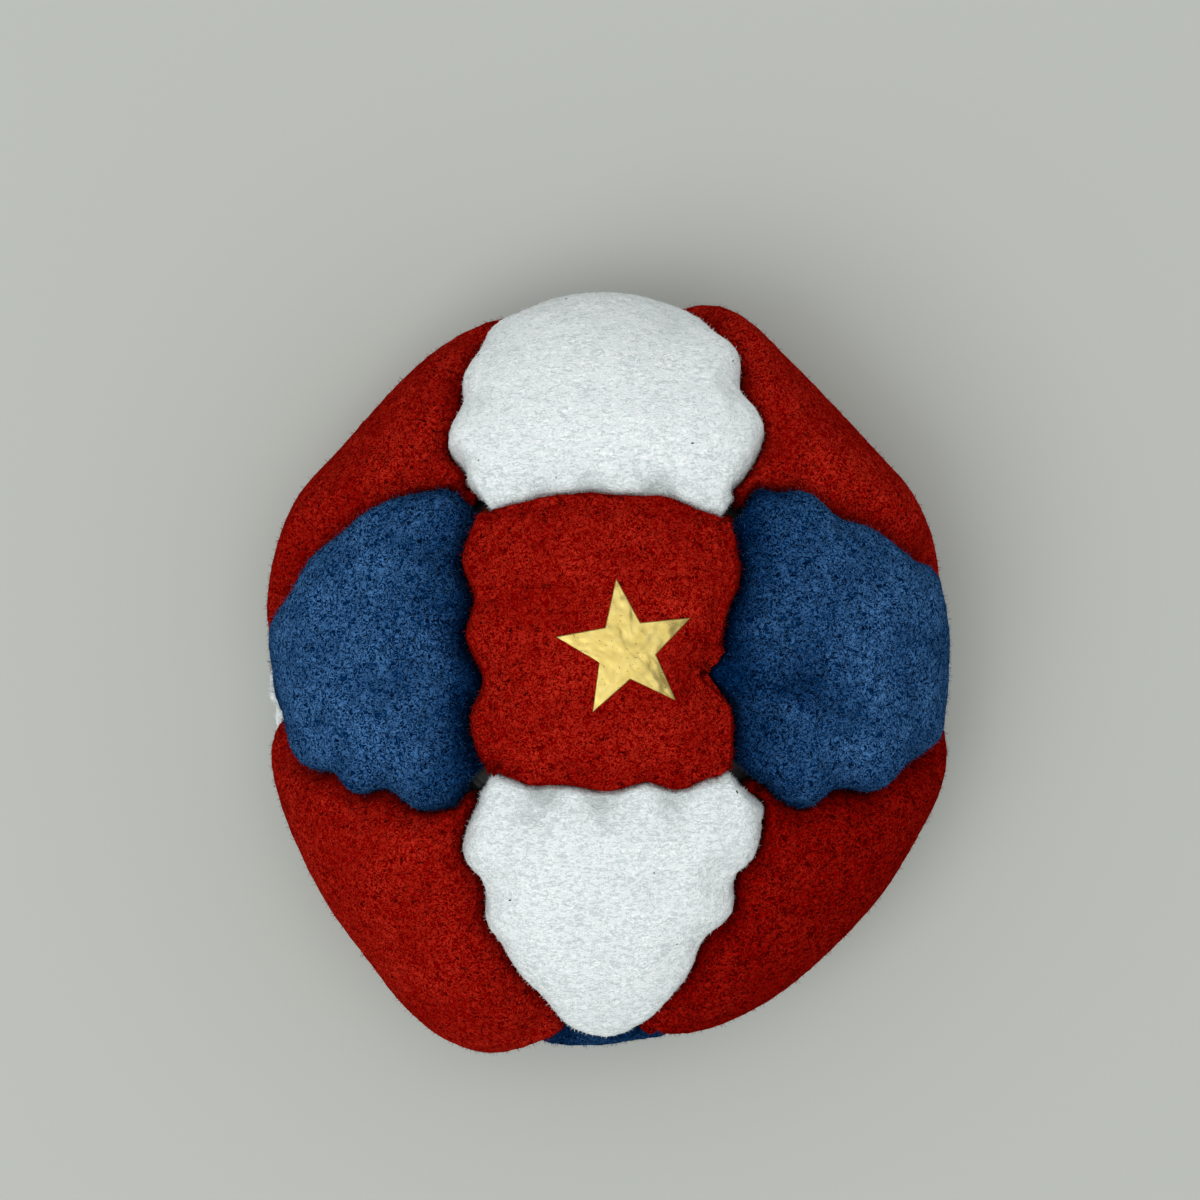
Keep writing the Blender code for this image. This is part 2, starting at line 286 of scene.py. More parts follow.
# Corners of each panel, counter-clockwise from outside.
SQUARES = {
    "top": ("top_back_left", "top_front_left", "top_front_right", "top_back_right"),
    "bottom": ("bottom_front_left", "bottom_back_left", "bottom_back_right", "bottom_front_right"),
    "back_left": ("back", "bottom_back_left", "left", "top_back_left"),
    "back_right": ("back", "top_back_right", "right", "bottom_back_right"),
    "front_left": ("front", "top_front_left", "left", "bottom_front_left"),
    "front_right": ("front", "bottom_front_right", "right", "top_front_right"),
}
TRIANGLES = {
    "upper_back": ("back", "top_back_left", "top_back_right"),
    "upper_front": ("front", "top_front_right", "top_front_left"),
    "upper_left": ("left", "top_front_left", "top_back_left"),
    "upper_right": ("right", "top_back_right", "top_front_right"),
    "lower_back": ("back", "bottom_back_right", "bottom_back_left"),
    "lower_front": ("front", "bottom_front_left", "bottom_front_right"),
    "lower_left": ("left", "bottom_back_left", "bottom_front_left"),
    "lower_right": ("right", "bottom_front_right", "bottom_back_right"),
}
WHITE_TRIANGLES = ("upper_back", "upper_front", "lower_left", "lower_right")


def sides_of(corners: tuple[str, ...]) -> list[tuple[str, str]]:
    """Pair each corner of a panel with the next."""
    return list(zip(corners, corners[1:] + corners[:1]))


def face_of(corner: str) -> str:
    """Name of the face that a corner lies on, or its own name where it lies between faces."""
    return corner.split("_")[0]


# Columns and rows of the photograph where each seam that shows bulges, dips or turns.
SEAM_PIXELS = {
    ("top_back_left", "top_back_right"): (
        (475.8, 516.6), (492, 509), (522.4, 502.5), (548.4, 497.1), (568, 495.6), (589.6, 492.8),
        (604.8, 495.6), (635, 497), (667.7, 497), (682.8, 503), (700, 510), (719.7, 514),
        (730.5, 521)),
    ("top_front_right", "top_front_left"): (
        (480.2, 763.4), (494.7, 773.4), (513.7, 779), (533.8, 785.3), (551.6, 783.9), (565, 783),
        (582.9, 785.7), (600.7, 789.5), (616.3, 789), (634.2, 782.4), (649.8, 780), (661, 784.6),
        (676.6, 790.2), (690, 786.8), (703.4, 779.7), (723.5, 776.3), (732.4, 770)),
    ("top_front_left", "top_back_left"): (
        (469, 522.8), (461, 545.8), (458.7, 566.4), (467.9, 582.5), (474.8, 600.9), (469, 619),
        (464.4, 635.3), (470, 651), (480.5, 667.4), (485, 685.8), (474.8, 701.9), (470, 715.7),
        (471.3, 734), (474.8, 750), (481.7, 766), (489.7, 775)),
    ("top_back_right", "top_front_right"): (
        (729.8, 515.9), (736.7, 529.7), (739, 548), (742.5, 568.7), (739, 589.4), (726.4, 612.3),
        (721.8, 635.3), (717, 654.5), (694, 675.8), (711.5, 688), (727.5, 701.9), (732, 720.3),
        (733.3, 740.9), (733.3, 763.9), (727.6, 775)),
    ("back", "top_back_left"): (
        (468, 473), (453, 464.3), (445.4, 444.8), (450.8, 427.4), (459.5, 410), (461.7, 402.5),
        (456.3, 392.7), (457.3, 381.9), (466, 366.7), (474.7, 353.7), (485.5, 340.7),
        (498.5, 325.5)),
    ("top_back_right", "back"): (
        (717.5, 508.8), (732.7, 496.8), (743.6, 483.8), (753.3, 468.6), (760.9, 455.6),
        (767, 440.5), (765.2, 429.6), (754.4, 418.8), (743.5, 407.9), (740.3, 392.7),
        (745.3, 375.4), (744.6, 366.7), (737, 353.7), (724, 342.9), (714.3, 328.8),
        (703.4, 313.6)),
    ("top_front_left", "front"): (
        (486.9, 785.6), (478, 801.3), (470, 819), (463.4, 837), (462.3, 848), (469, 859.3),
        (481.3, 870.4), (485.8, 883.8), (485.8, 897.2), (481.3, 915), (488, 926.3), (500.3, 944),
        (508, 962), (515.9, 975.4), (528, 990), (540, 1003), (549, 1014), (556, 1024)),
    ("front", "top_front_right"): (
        (753, 783), (761.4, 792.3), (760.3, 814.6), (759.2, 839.2), (750.3, 857), (736.9, 866),
        (733.5, 881.6), (738, 901.7), (730.2, 917.3), (714.6, 928.5), (702.3, 941.9),
        (700, 959.7), (692.2, 977.6), (681, 991), (665, 1008), (652, 1018), (644, 1027)),
    ("top_back_left", "left"): (
        (462.5, 488.2), (445, 489.8), (423.5, 491.3), (401.8, 495.2), (380, 505), (358.4, 516.9),
        (345.4, 527.7), (336.7, 533), (319.4, 545), (306.4, 562.4), (295.5, 584), (283.6, 601.4),
        (276, 614.4)),
    ("left", "top_front_left"): (
        (477.7, 798.8), (466.8, 802), (451.7, 804.2), (434.3, 808.5), (419, 801), (404, 790),
        (391, 785.7), (378, 792.2), (365, 797.7), (356.3, 792.2), (348.7, 779.2), (336.7, 773.8),
        (319.4, 775.3), (306.4, 768.4), (296.6, 755.4), (285.8, 731.5)),
    ("right", "top_back_right"): (
        (758, 483.4), (764.6, 489.6), (778, 490.5), (793.7, 486.7), (807, 490), (816, 501.3),
        (827, 511.3), (842.8, 518), (858.4, 519.6), (876, 527), (894, 539.2), (912, 553.7),
        (927.6, 568.2), (942, 589.4)),
    ("top_front_right", "right"): (
        (753.5, 778), (761.3, 789.2), (769, 795.9), (782.5, 804.8), (798, 809.3), (809.3, 800.4),
        (818, 791.4), (836, 789.2), (851.7, 791.4), (864, 798), (878.5, 791.4), (896, 774.7),
        (914, 762.4), (927.6, 749), (937.6, 734.5)),
}

# How deep the edge that shows along a seam lies, in millimetres, where it isn't the usual depth.
EDGE_DEPTHS = {
    ("top_back_left", "top_back_right"): 0.4,
    ("top_front_right", "top_front_left"): 0.47,
    ("top_front_left", "top_back_left"): 0.95,
    ("top_back_right", "top_front_right"): 0.94,
    ("back", "top_back_left"): 1.94,
    ("top_back_right", "back"): 2.15,
    ("top_front_left", "front"): 1.63,
    ("front", "top_front_right"): 1.77,
    ("top_back_left", "left"): 1.81,
    ("left", "top_front_left"): 2.24,
    ("right", "top_back_right"): 1.57,
    ("top_front_right", "right"): 2.1,
}

# Dents that show in the photograph: column, row, radius in pixels, and depth in millimetres.
# A depth below zero is a bulge.
DENTS = {
    "panel_square_top": ((702, 650, 17, 0.45), (694, 690, 10, 0.25), (480, 690, 9, 0.2)),
    "panel_triangle_upper_back": ((540, 488, 12, 0.9), (594, 484, 12, 1.3), (662, 484, 13, 2.0)),
    "panel_triangle_upper_front": ((543, 793, 12, 1.8), (533, 818, 14, 0.8), (603, 798, 12, 1.4),
                                   (678, 797, 11, 1.2)),
    "panel_triangle_upper_left": ((336, 762, 9, 0.45), (345, 742, 10, 0.25), (452, 690, 9, 0.3),
                                  (255, 652, 34, 0.15), (255, 704, 38, 0.75),
                                  (268, 731, 24, 0.55)),
    "panel_triangle_lower_left": ((255, 690, 58, -1.6),),
    "panel_triangle_upper_right": ((742, 682, 12, 0.5), (782, 690, 14, 0.5), (812, 684, 22, 0.85),
                                   (836, 712, 14, 0.35), (735, 600, 12, 0.3)),
    "panel_square_back_left": ((440, 478, 14, 0.35),),
    "panel_square_back_right": ((778, 475, 12, 0.35), (850, 500, 14, 0.25)),
    "panel_square_front_left": ((395, 815, 14, 0.3), (262, 724, 14, 0.6)),
    "panel_square_front_right": ((775, 820, 14, 0.3), (845, 805, 12, 0.25)),
}


@dataclass(frozen=True)
class SeamStyle:
    """How the panels are sewn together."""

    side_bow_share: float = 0.07
    face_bow_share: float = 0.03
    bow_power: float = 0.6
    scallop: float = 0.55 * MM
    scallop_run: float = 5.2 * MM
    corner_run: float = 1.2 * MM
    crease_depth: float = 1.5 * MM
    gap: float = 0.12 * MM
    corner_gap: float = 0.75 * MM
    corner_power: float = 10.0
    samples: int = 241
    # Least and most that the scallops of a seam stray from even ones, and over how many waves.
    straying: tuple[float, float] = (0.05, 0.12)
    straying_waves: tuple[float, float] = (1.0, 2.0)


class Seam:
    """The scalloped line in which two panels meet, from one corner to the next."""

    def __init__(self, envelope: Envelope, start: Array, end: Array, style: SeamStyle,
                 bow_share: float, seed: int) -> None:
        """Lay a seam with even scallops.

        Args:
            envelope: form of the bag.
            start: first corner, on the envelope.
            end: last corner, on the envelope.
            style: how the seams are sewn.
            bow_share: how far the seam bows to its right, against its length.
            seed: whole number that picks the scallops.
        """
        self.envelope = envelope
        self.middle = envelope.middle()
        self.start = start - self.middle
        self.end = end - self.middle
        self.length = float(np.linalg.norm(end - start))
        pole = np.cross(self.end, self.start)
        self.rightward = pole / np.linalg.norm(pole)
        self.style = style
        self.shares = np.linspace(0, 1, style.samples)
        random = np.random.default_rng(seed)
        self.arch = np.sin(math.pi * self.shares) ** style.bow_power
        self.bow = bow_share * self.length * self.arch
        waves = self.length / style.scallop_run
        turn = random.uniform(0, 1) + waves * self.shares
        turn += random.uniform(*style.straying) * np.sin(
            math.tau * self.shares * random.uniform(*style.straying_waves))
        self.scallops = style.scallop * np.sin(math.tau * turn) * self.ends()

    def ends(self) -> Array:
        """Ease the scallops out at the corners."""
        share = self.style.corner_run / self.length
        return smooth_step(np.minimum(self.shares, 1 - self.shares) / share)

    def follow(self, knots: Array, offsets: Array) -> None:
        """Take the seam's line from points that were seen.

        Args:
            knots: shares of the way along the seam.
            offsets: how far the seam lies to the right there.
        """
        order = np.argsort(knots)
        line = curve_through(knots[order], offsets[order], self.shares)
        self.bow = self.arch * float(np.sum(line * self.arch) / np.sum(self.arch * self.arch))
        self.scallops = (line - self.bow) * self.ends()

    def locate(self, points: Array) -> tuple[Array, Array]:
        """Measure points against the straight seam.

        Args:
            points: places on or in the bag.

        Returns:
            The share along the seam and the distance to its right, on the envelope.
        """
        offset = points - self.middle
        sideways = offset @ self.rightward
        along = offset - sideways[:, None] * self.rightward
        basis = np.stack([self.start, self.end], axis=1)
        parts = along @ np.linalg.pinv(basis).T
        share = parts[:, 1] / (parts[:, 0] + parts[:, 1])
        straight = self.envelope.onto(self.middle + along)
        scale = np.linalg.norm(straight - self.middle, axis=1) / np.linalg.norm(along, axis=1)
        return share, sideways * scale

    def bow_at(self, share: Array) -> Array:
        """Bow to the right, without the scallops."""
        return np.interp(share, self.shares, self.bow)

    def gap_at(self, share: Array) -> Array:
        """Half the width of the dark gap between the two panels, wider at the corners."""
        arch = np.sin(math.pi * np.clip(share, 0, 1))
        return self.style.gap / 2 + self.style.corner_gap * (1 - arch) ** self.style.corner_power

    def scallops_at(self, share: Array) -> Array:
        """Scallops to the right of the bowed seam."""
        return np.interp(share, self.shares, self.scallops)


def make_corners(envelope: Envelope) -> dict[str, Array]:
    """Place the twelve corners on the envelope.

    Args:
        envelope: form of the bag.

    Returns:
        The place of each corner by its name.
    """
    shares = dict(TOP_CORNER_SHARES)
    shares.update(SIDE_CORNER_SHARES)
    for lower, upper in ACROSS.items():
        shares[lower] = tuple(-share for share in TOP_CORNER_SHARES[upper])
    upper_height = envelope.height - envelope.widest_height
    lower_height = envelope.widest_height + envelope.sag
    corners = {}
    for name, (across, along, up) in shares.items():
        rise = up * (upper_height if up > 0 else lower_height)
        direction = np.array([across * envelope.width / 2, along * envelope.length / 2, rise])
        corners[name] = envelope.onto((envelope.middle() + direction)[None])[0]
    return corners


def seen_on_crease(envelope: Envelope, view: PhotoView, column: float, row: float,
                   depth: float) -> Array:
    """Find where the line of sight through a pixel meets the floor of a crease.

    Args:
        envelope: form of the bag.
        view: camera of the photograph.
        column: pixels from the left.
        row: pixels from the top.
        depth: how deep the crease lies under the envelope.

    Returns:
        The first such point, or the nearest pass where the line misses the bag.
    """
    eye = view.place()
    ray = view.on_level(column, row) - eye
    drops = np.linspace(envelope.height, 0, SIGHT_STEPS)
    reach = (eye[2] - drops) / -ray[2]
    points = eye + ray * reach[:, None]
    levels = envelope.level(points + envelope.outward(points) * depth) - 1
    inside = np.nonzero(levels <= 0)[0]
    return points[inside[0] if len(inside) else int(np.argmin(levels))]


def make_seams(envelope: Envelope, corners: dict[str, Array], view: PhotoView,
               style: SeamStyle) -> dict[tuple[str, str], Seam]:
    """Lay the 24 seams. Each follows an edge of one triangle, so it bows out of that one.

    Args:
        envelope: form of the bag.
        corners: place of every corner.
        view: camera that the seams which show are placed by.
        style: how the seams are sewn.

    Returns:
        The seams by the names of their two corners.
    """
    seams = {}
    for names in TRIANGLES.values():
        for start, end in sides_of(names):
            on_face = face_of(start) == face_of(end)
            bow = style.face_bow_share if on_face else style.side_bow_share
            seam = Seam(envelope, corners[start], corners[end], style, bow, len(seams))
            pixels = SEAM_PIXELS.get((start, end))
            if pixels:
                depth = EDGE_DEPTHS.get((start, end), style.crease_depth / MM) * MM
                points = np.array([seen_on_crease(envelope, view, column, row, depth)
                                   for column, row in pixels])
                seam.follow(*seam.locate(points))
            seams[start, end] = seam
    return seams


# Painted shade over whole panels that lie in shade or face away from the light.
PANEL_PAINTED_SHADE = {"panel_square_front_right": 0.5, "panel_square_back_left": 0.1,
             "panel_square_front_left": 0.06, "panel_triangle_lower_front": 0.6,
             "panel_triangle_upper_front": 0.22}
# Name of the attribute that carries the painted shade to the finish.
PAINTED_SHADE_ATTRIBUTE = "nap_shading"


@dataclass(frozen=True)
class Rim:
    """How a panel falls away into a seam."""

    width: float
    drop: float
    power: float = 2.0

    def depth(self, apart: Array) -> Array:
        """Depth under the crown, by the distance from the seam."""
        near = np.clip(1 - apart / self.width, 0, 1)
        return self.drop * (1 - (1 - near ** self.power) ** (1 / self.power))


TIGHT_RIM = Rim(width=1.4 * MM, drop=3.0 * MM)
LOW_RIM = Rim(width=3.6 * MM, drop=3.2 * MM)
# Seams at which the triangle stands full and the top panel overlaps it. The two values are how
# wide the rim and how deep the fall of each are there, against those at its other seams.
FULL_SEAMS = (("top_back_left", "top_back_right"), ("top_front_right", "top_front_left"))
FULL_SHARES = (0.22, 0.3)
OVERLAPPING_SHARES = (0.6, 0.14)


@dataclass(frozen=True)
class PanelStyle:
    """How a suede panel puffs, puckers and feels.

    A power says how fast a form falls off, a run is the length over which it repeats or fades,
    and the fades say how far a seam's bow and scallops reach into the panel.
    """

    dome_rise: float = 0.9 * MM
    dome_power: float = 2.4
    pucker: float = 0.42 * MM
    pucker_run: float = 2.4 * MM
    pucker_start: float = 1.0 * MM
    most_bulge: float = 1.6
    slack: float = 0.15 * MM
    slack_run: float = 6.5 * MM
    turned_in: float = 1.6 * MM
    turning_shares: tuple[float, float] = (0.35, 0.65)
    thickness: float = 0.8 * MM
    nap: float = 0.065 * MM
    clump_run: float = 0.5 * MM
    # Painted shade along the seams, mottled, beside the blue panels' top seams and in dents.
    pressed: float = 0.5
    seam_shade_run: float = 1.1 * MM
    least_seam_shade: float = 0.6
    mottled: float = 0.8
    shaded: float = 0.55
    shaded_run: float = 3.2 * MM
    dented: float = 0.7
    bow_fade: float = 3.0
    scallop_fade: float = 9.0
    gather: float = 1.4
    net_rows: int = 32
    smoothing: int = 2


# Height of an even-sided triangle against its side.
TRIANGLE_HEIGHT = math.sqrt(3) / 2


class Panel:
    """One panel of suede, puffed out by the pellets behind it."""

    def __init__(self, name: str, corners: tuple[str, ...], places: dict[str, Array],
                 seams: dict[tuple[str, str], Seam], view: PhotoView, suede: Suede, rim: Rim,
                 style: PanelStyle) -> None:
        """Set out a panel.

        Args:
            name: the node that the panel stands for.
            corners: its corners, counter-clockwise from outside.
            places: place of every corner.
            seams: every seam of the bag.
            view: camera that the panel's dents are placed by.
            suede: colour that it is cut from.
            rim: how it falls away into its seams.
            style: how it puffs and feels.
        """
        self.name = name
        self.suede = suede
        self.rim = rim
        self.style = style
        self.corners = np.array([places[corner] for corner in corners])
        self.edges = []
        self.fullness = []
        for start, end in sides_of(corners):
            own = (start, end) in seams
            self.edges.append((seams[start, end] if own else seams[end, start], own))
            full = FULL_SHARES if (start, end) in FULL_SEAMS else (1.0, 1.0)
            self.fullness.append(OVERLAPPING_SHARES if (end, start) in FULL_SEAMS else full)
        self.envelope = self.edges[0][0].envelope
        self.seed = sum(ord(letter) for letter in name)
        self.places = np.zeros((0, 3))
        self.apart = np.zeros(0)
        self.dented = np.zeros(0)
        self.on_top = [face_of(start) == face_of(end) == "top"
                       for start, end in sides_of(corners)]
        self.dents = [(seen_on_crease(self.envelope, view, column, row, 0.0), radius * view.pixel,
                       depth * MM) for column, row, radius, depth in DENTS.get(name, ())]

    def net(self) -> tuple[bmesh.types.BMesh, Array]:
        """Make the flat net of the panel, with its rows gathered towards the seams.

        Returns:
            The net, and the share of each corner at each of its vertices.
        """
        rows = self.style.net_rows
        flat = bmesh.new()
        if len(self.corners) == 4:
            bmesh.ops.create_grid(flat, x_segments=rows, y_segments=rows, size=0.5)
            even = np.clip(np.array([vertex.co[:2] for vertex in flat.verts]) + 0.5, 0, 1)
            near, far = even ** self.style.gather, (1 - even) ** self.style.gather
            across, along = (near / (near + far)).T
            shares = np.stack([(1 - across) * (1 - along), across * (1 - along),
                               across * along, (1 - across) * along], axis=1)
            return flat, shares
        tips = [flat.verts.new(tip) for tip in ((1, 0, 0), (0, 1, 0), (0, 0, 1))]
        flat.faces.new(tips)
        bmesh.ops.subdivide_edges(flat, edges=flat.edges[:], cuts=rows - 1, use_grid_fill=True)
        even = np.clip(np.array([vertex.co[:] for vertex in flat.verts]), 0, 1)
        gathered = even ** self.style.gather
        return flat, gathered / gathered.sum(axis=1)[:, None]

    def distances(self, shares: Array) -> list[tuple[Array, Array]]:
        """Measure points of the panel against its edges.

        Args:
            shares: share of each corner at each point.

        Returns:
            For each edge, the share along it and the share of the panel's width in from it.
        """
        count = len(self.corners)
        reach = 1 if count == 4 else TRIANGLE_HEIGHT
        found = []
        for index in range(count):
            after = shares[:, (index + 1) % count]
            near = shares[:, index] + after
            along = np.where(near > 0, after / np.maximum(near, TINY), 0.5)
            found.append((along, np.clip(1 - near, 0, 1) * reach))
        return found

    def over(self, shares: Array) -> Array:
        """Lay the panel on the envelope, with its seams bowed and scalloped.

        Args:
            shares: share of each corner at each point.

        Returns:
            The place over each point.
        """
        points = self.envelope.onto(shares @ self.corners)
        moves = np.zeros_like(points)
        style = self.style
        distances = self.distances(shares)
        for index, ((seam, own), (along, inward)) in enumerate(zip(self.edges, distances)):
            share = along if own else 1 - along
            follows = np.ones(len(shares))
            for other, (_, apart) in enumerate(distances):
                if other != index:
                    follows *= (apart + TINY) / (apart + inward + TINY)
            move = seam.bow_at(share) * (1 - inward) ** style.bow_fade * follows
            move += seam.scallops_at(share) * (1 - inward) ** style.scallop_fade * follows
            move += seam.gap_at(share) * (-1 if own else 1) * (1 - inward) ** style.scallop_fade
            moves += move[:, None] * seam.rightward
        return self.envelope.onto(points + moves)

    def depth(self, shares: Array, over: Array) -> Array:
        """Find how deep the suede lies under the envelope, before its nap.

        Args:
            shares: share of each corner at each point.
            over: the place over each point.

        Returns:
            The depth at each point.
        """
        style = self.style
        level = np.ones(len(shares))
        dome = np.ones(len(shares))
        pucker = np.zeros(len(shares))
        for (seam, own), (full, fall), (along, inward) in zip(self.edges, self.fullness,
                                                              self.distances(shares)):
            apart = inward * seam.length
            level *= 1 - fall * self.rim.depth(apart / full) / self.rim.drop
            dome *= 1 - fall * (1 - np.clip(inward, 0, 1)) ** (style.dome_power / full)
            share = along if own else 1 - along
            bulge = seam.scallops_at(share) / seam.style.scallop * (1 if own else -1)
            fade = np.exp(-apart / style.pucker_run) * smooth_step(apart / style.pucker_start)
            pucker += np.clip(bulge, -style.most_bulge, style.most_bulge) * fade
        slack = layered_noise(over, style.slack_run, self.seed)
        return (self.rim.drop * (1 - level) + style.dome_rise * (1 - dome)
                - style.pucker * pucker - style.slack * slack * level)

    def dent(self, over: Array) -> Array:
        """Find how deep the panel's dents are.

        Args:
            over: places on the envelope over the panel.

        Returns:
            The depth under each place.
        """
        dent = np.zeros(len(over))
        for middle, radius, deep in self.dents:
            dent += deep * np.exp(-((over - middle) ** 2).sum(axis=1) / radius ** 2)
        return dent

    def painted_shade(self, shares: Array, over: Array) -> Array:
        """Find how much shade is painted: along the seams, in the dents and over whole panels.

        Args:
            shares: share of each corner at each point.
            over: the place over each point.

        Returns:
            For each point 0 where no shade is painted, and 1 at most.
        """
        style = self.style
        # Painted shade in the creases along the seams.
        pressed = style.pressed * np.exp(-self.apart / style.seam_shade_run)
        # The blue panels are painted darker beside their seams with the top panel.
        if self.suede is Suede.BLUE:
            for (seam, _), on_top, (_, inward) in zip(self.edges, self.on_top,
                                                      self.distances(shares)):
                if on_top:
                    pressed += style.shaded * np.exp(-inward * seam.length / style.shaded_run)
        mottling = smooth_noise(over, style.slack_run / 2, self.seed + 2) * 0.5 + 0.5
        pressed *= style.least_seam_shade + style.mottled * mottling
        # Painted shade in the dents; a bulge takes some painted shade away.
        dented = style.dented * self.dented / MM
        # Whole panels that lie in shade are painted darker.
        return np.clip(pressed + dented + PANEL_PAINTED_SHADE.get(self.name, 0.0), 0, 1)

    def lay_out(self) -> bpy.types.Mesh:
        """Model the panel's puffed face, before it settles.

        Returns:
            The face, whose vertices carry the painted shade.
        """
        flat, shares = self.net()
        over = self.over(shares)
        self.places = over - self.envelope.outward(over) * self.depth(shares, over)[:, None]
        self.places[:, 2] = np.maximum(self.places[:, 2], OFF_TABLE)
        self.apart = np.min([inward * seam.length for (seam, _), (_, inward)
                             in zip(self.edges, self.distances(shares))], axis=0)
        self.dented = self.dent(over)
        painted_shade = self.painted_shade(shares, over)
        put_in_place(flat.verts, self.places)
        face_outward(flat, self.envelope.middle())
        mesh = mesh_of(flat, self.name)
        layer = mesh.attributes.new(PAINTED_SHADE_ATTRIBUTE, "FLOAT", "POINT")
        layer.data.foreach_set("value", painted_shade.astype(np.float32))
        return mesh

    def hold(self, places: Array) -> Array:
        """Keep settled places over the table and on the panel's own side of its seams.

        A triangle's narrow tip curls past its seams, so its places may stay as they were laid.

        Args:
            places: where the panel's vertices have settled.

        Returns:
            Where they are held.
        """
        held = places.copy()
        for seam, own in self.edges:
            share, aside = seam.locate(held)
            limit = seam.bow_at(share) + seam.scallops_at(share)
            limit += seam.gap_at(share) * (-1 if own else 1)
            if len(self.corners) == 3:
                laid = seam.locate(self.places)[1]
                limit = np.maximum(limit, laid) if own else np.minimum(limit, laid)
            past = np.maximum(aside - limit, 0) if own else np.minimum(aside - limit, 0)
            past = np.where((share > 0) & (share < 1), past, 0)
            past = past * smooth_step(self.apart / self.style.pucker_start)
            held -= (past * self.envelope.level(held))[:, None] * seam.rightward
        held[:, 2] = np.maximum(held[:, 2], OFF_TABLE)
        return held

    def finish(self, mesh: bpy.types.Mesh, places: Array) -> bpy.types.Object:
        """Turn in the edges of the settled panel, smooth it and raise its nap.

        Args:
            mesh: the panel's net.
            places: where its vertices have settled.

        Returns:
            The piece.
        """
        style = self.style
        places = places - self.envelope.outward(places) * self.dented[:, None]
        places[:, 2] = np.maximum(places[:, 2], OFF_TABLE)
        face = bmesh.new()
        face.from_mesh(mesh)
        put_in_place(face.verts, places)
        for depth in style.turning_shares:
            border = [edge for edge in face.edges if edge.is_boundary]
            rim = [vertex for vertex in face.verts if vertex.is_boundary]
            starts = np.array([vertex.co[:] for vertex in rim])
            ends = starts - self.envelope.outward(starts) * style.turned_in * depth
            turned = {vertex: face.verts.new(end, vertex) for vertex, end in zip(rim, ends)}
            # Blender's own extrusion would number these faces in another order on each run.
            for edge in border:
                first = edge.link_loops[0].vert
                second = edge.other_vert(first)
                face.faces.new((second, first, turned[first], turned[second]))
        face_outward(face, self.envelope.middle())
        face.to_mesh(mesh)
        face.free()
        mesh.shade_smooth()
        piece = object_of(mesh, self.name + "_suede")
        smoothing = piece.modifiers.new("Smoothing", "SUBSURF")
        smoothing.levels = smoothing.render_levels = style.smoothing
        smoothing.boundary_smooth = "PRESERVE_CORNERS"
        mesh = applied(piece)
        normals = read_vectors(mesh.vertices, "normal")
        places = read_vectors(mesh.vertices, "co")
        clumps = layered_noise(places, style.clump_run, self.seed)
        places += normals * (clumps * style.nap)[:, None]
        places[:, 2] = np.maximum(places[:, 2], 0)
        mesh.vertices.foreach_set("co", places.astype(np.float32).ravel())
        mesh.update()
        thicken(piece, style.thickness)
        return piece


def put_in_place(verts: Sequence[bmesh.types.BMVert], places: Array) -> None:
    """Move vertices to new places."""
    for vertex, place in zip(verts, places):
        vertex.co = place


def mesh_of(net: bmesh.types.BMesh, name: str) -> bpy.types.Mesh:
    """Turn a net into a mesh.

    Args:
        net: the net, which is freed.
        name: name of the mesh.

    Returns:
        The mesh.
    """
    mesh = bpy.data.meshes.new(name)
    net.to_mesh(mesh)
    net.free()
    return mesh


def object_of(data: bpy.types.ID, name: str) -> bpy.types.Object:
    """Put a mesh, curve, light or camera in the scene.

    Args:
        data: what the object shows.
        name: name of the object.

    Returns:
        The object.
    """
    item = bpy.data.objects.new(name, data)
    bpy.context.scene.collection.objects.link(item)
    return item


def thicken(piece: bpy.types.Object, thickness: float) -> None:
    """Give a face its thickness, inwards.

    Args:
        piece: the face.
        thickness: how thick it becomes.
    """
    shell = piece.modifiers.new("Thickness", "SOLIDIFY")
    shell.thickness = thickness
    shell.offset = -1


def read_vectors(items: bpy.types.bpy_prop_collection, key: str) -> Array:
    """Read one vector property of many items at once.

    Args:
        items: vertices of a mesh.
        key: name of the property.

    Returns:
        The vectors, one a row.
    """
    values = np.zeros(len(items) * 3, dtype=np.float32)
    items.foreach_get(key, values)
    return values.reshape(-1, 3).astype(float)


def applied(piece: bpy.types.Object) -> bpy.types.Mesh:
    """Turn a piece's modifiers into its own mesh.

    Args:
        piece: the piece.

    Returns:
        Its new mesh.
    """
    evaluated = piece.evaluated_get(bpy.context.evaluated_depsgraph_get())
    mesh = bpy.data.meshes.new_from_object(evaluated)
    mesh.name = piece.name
    piece.modifiers.clear()
    piece.data = mesh
    return mesh


def face_outward(net: bmesh.types.BMesh, middle: Array) -> None:
    """Turn a net's faces away from the middle of the bag.

    Args:
        net: the net.
        middle: the middle of the bag.
    """
    bmesh.ops.recalc_face_normals(net, faces=net.faces)
    centre = Vector(middle)
    facing = sum(face.normal.dot(face.calc_center_median() - centre) * face.calc_area()
                 for face in net.faces)
    if facing < 0:
        bmesh.ops.reverse_faces(net, faces=net.faces)


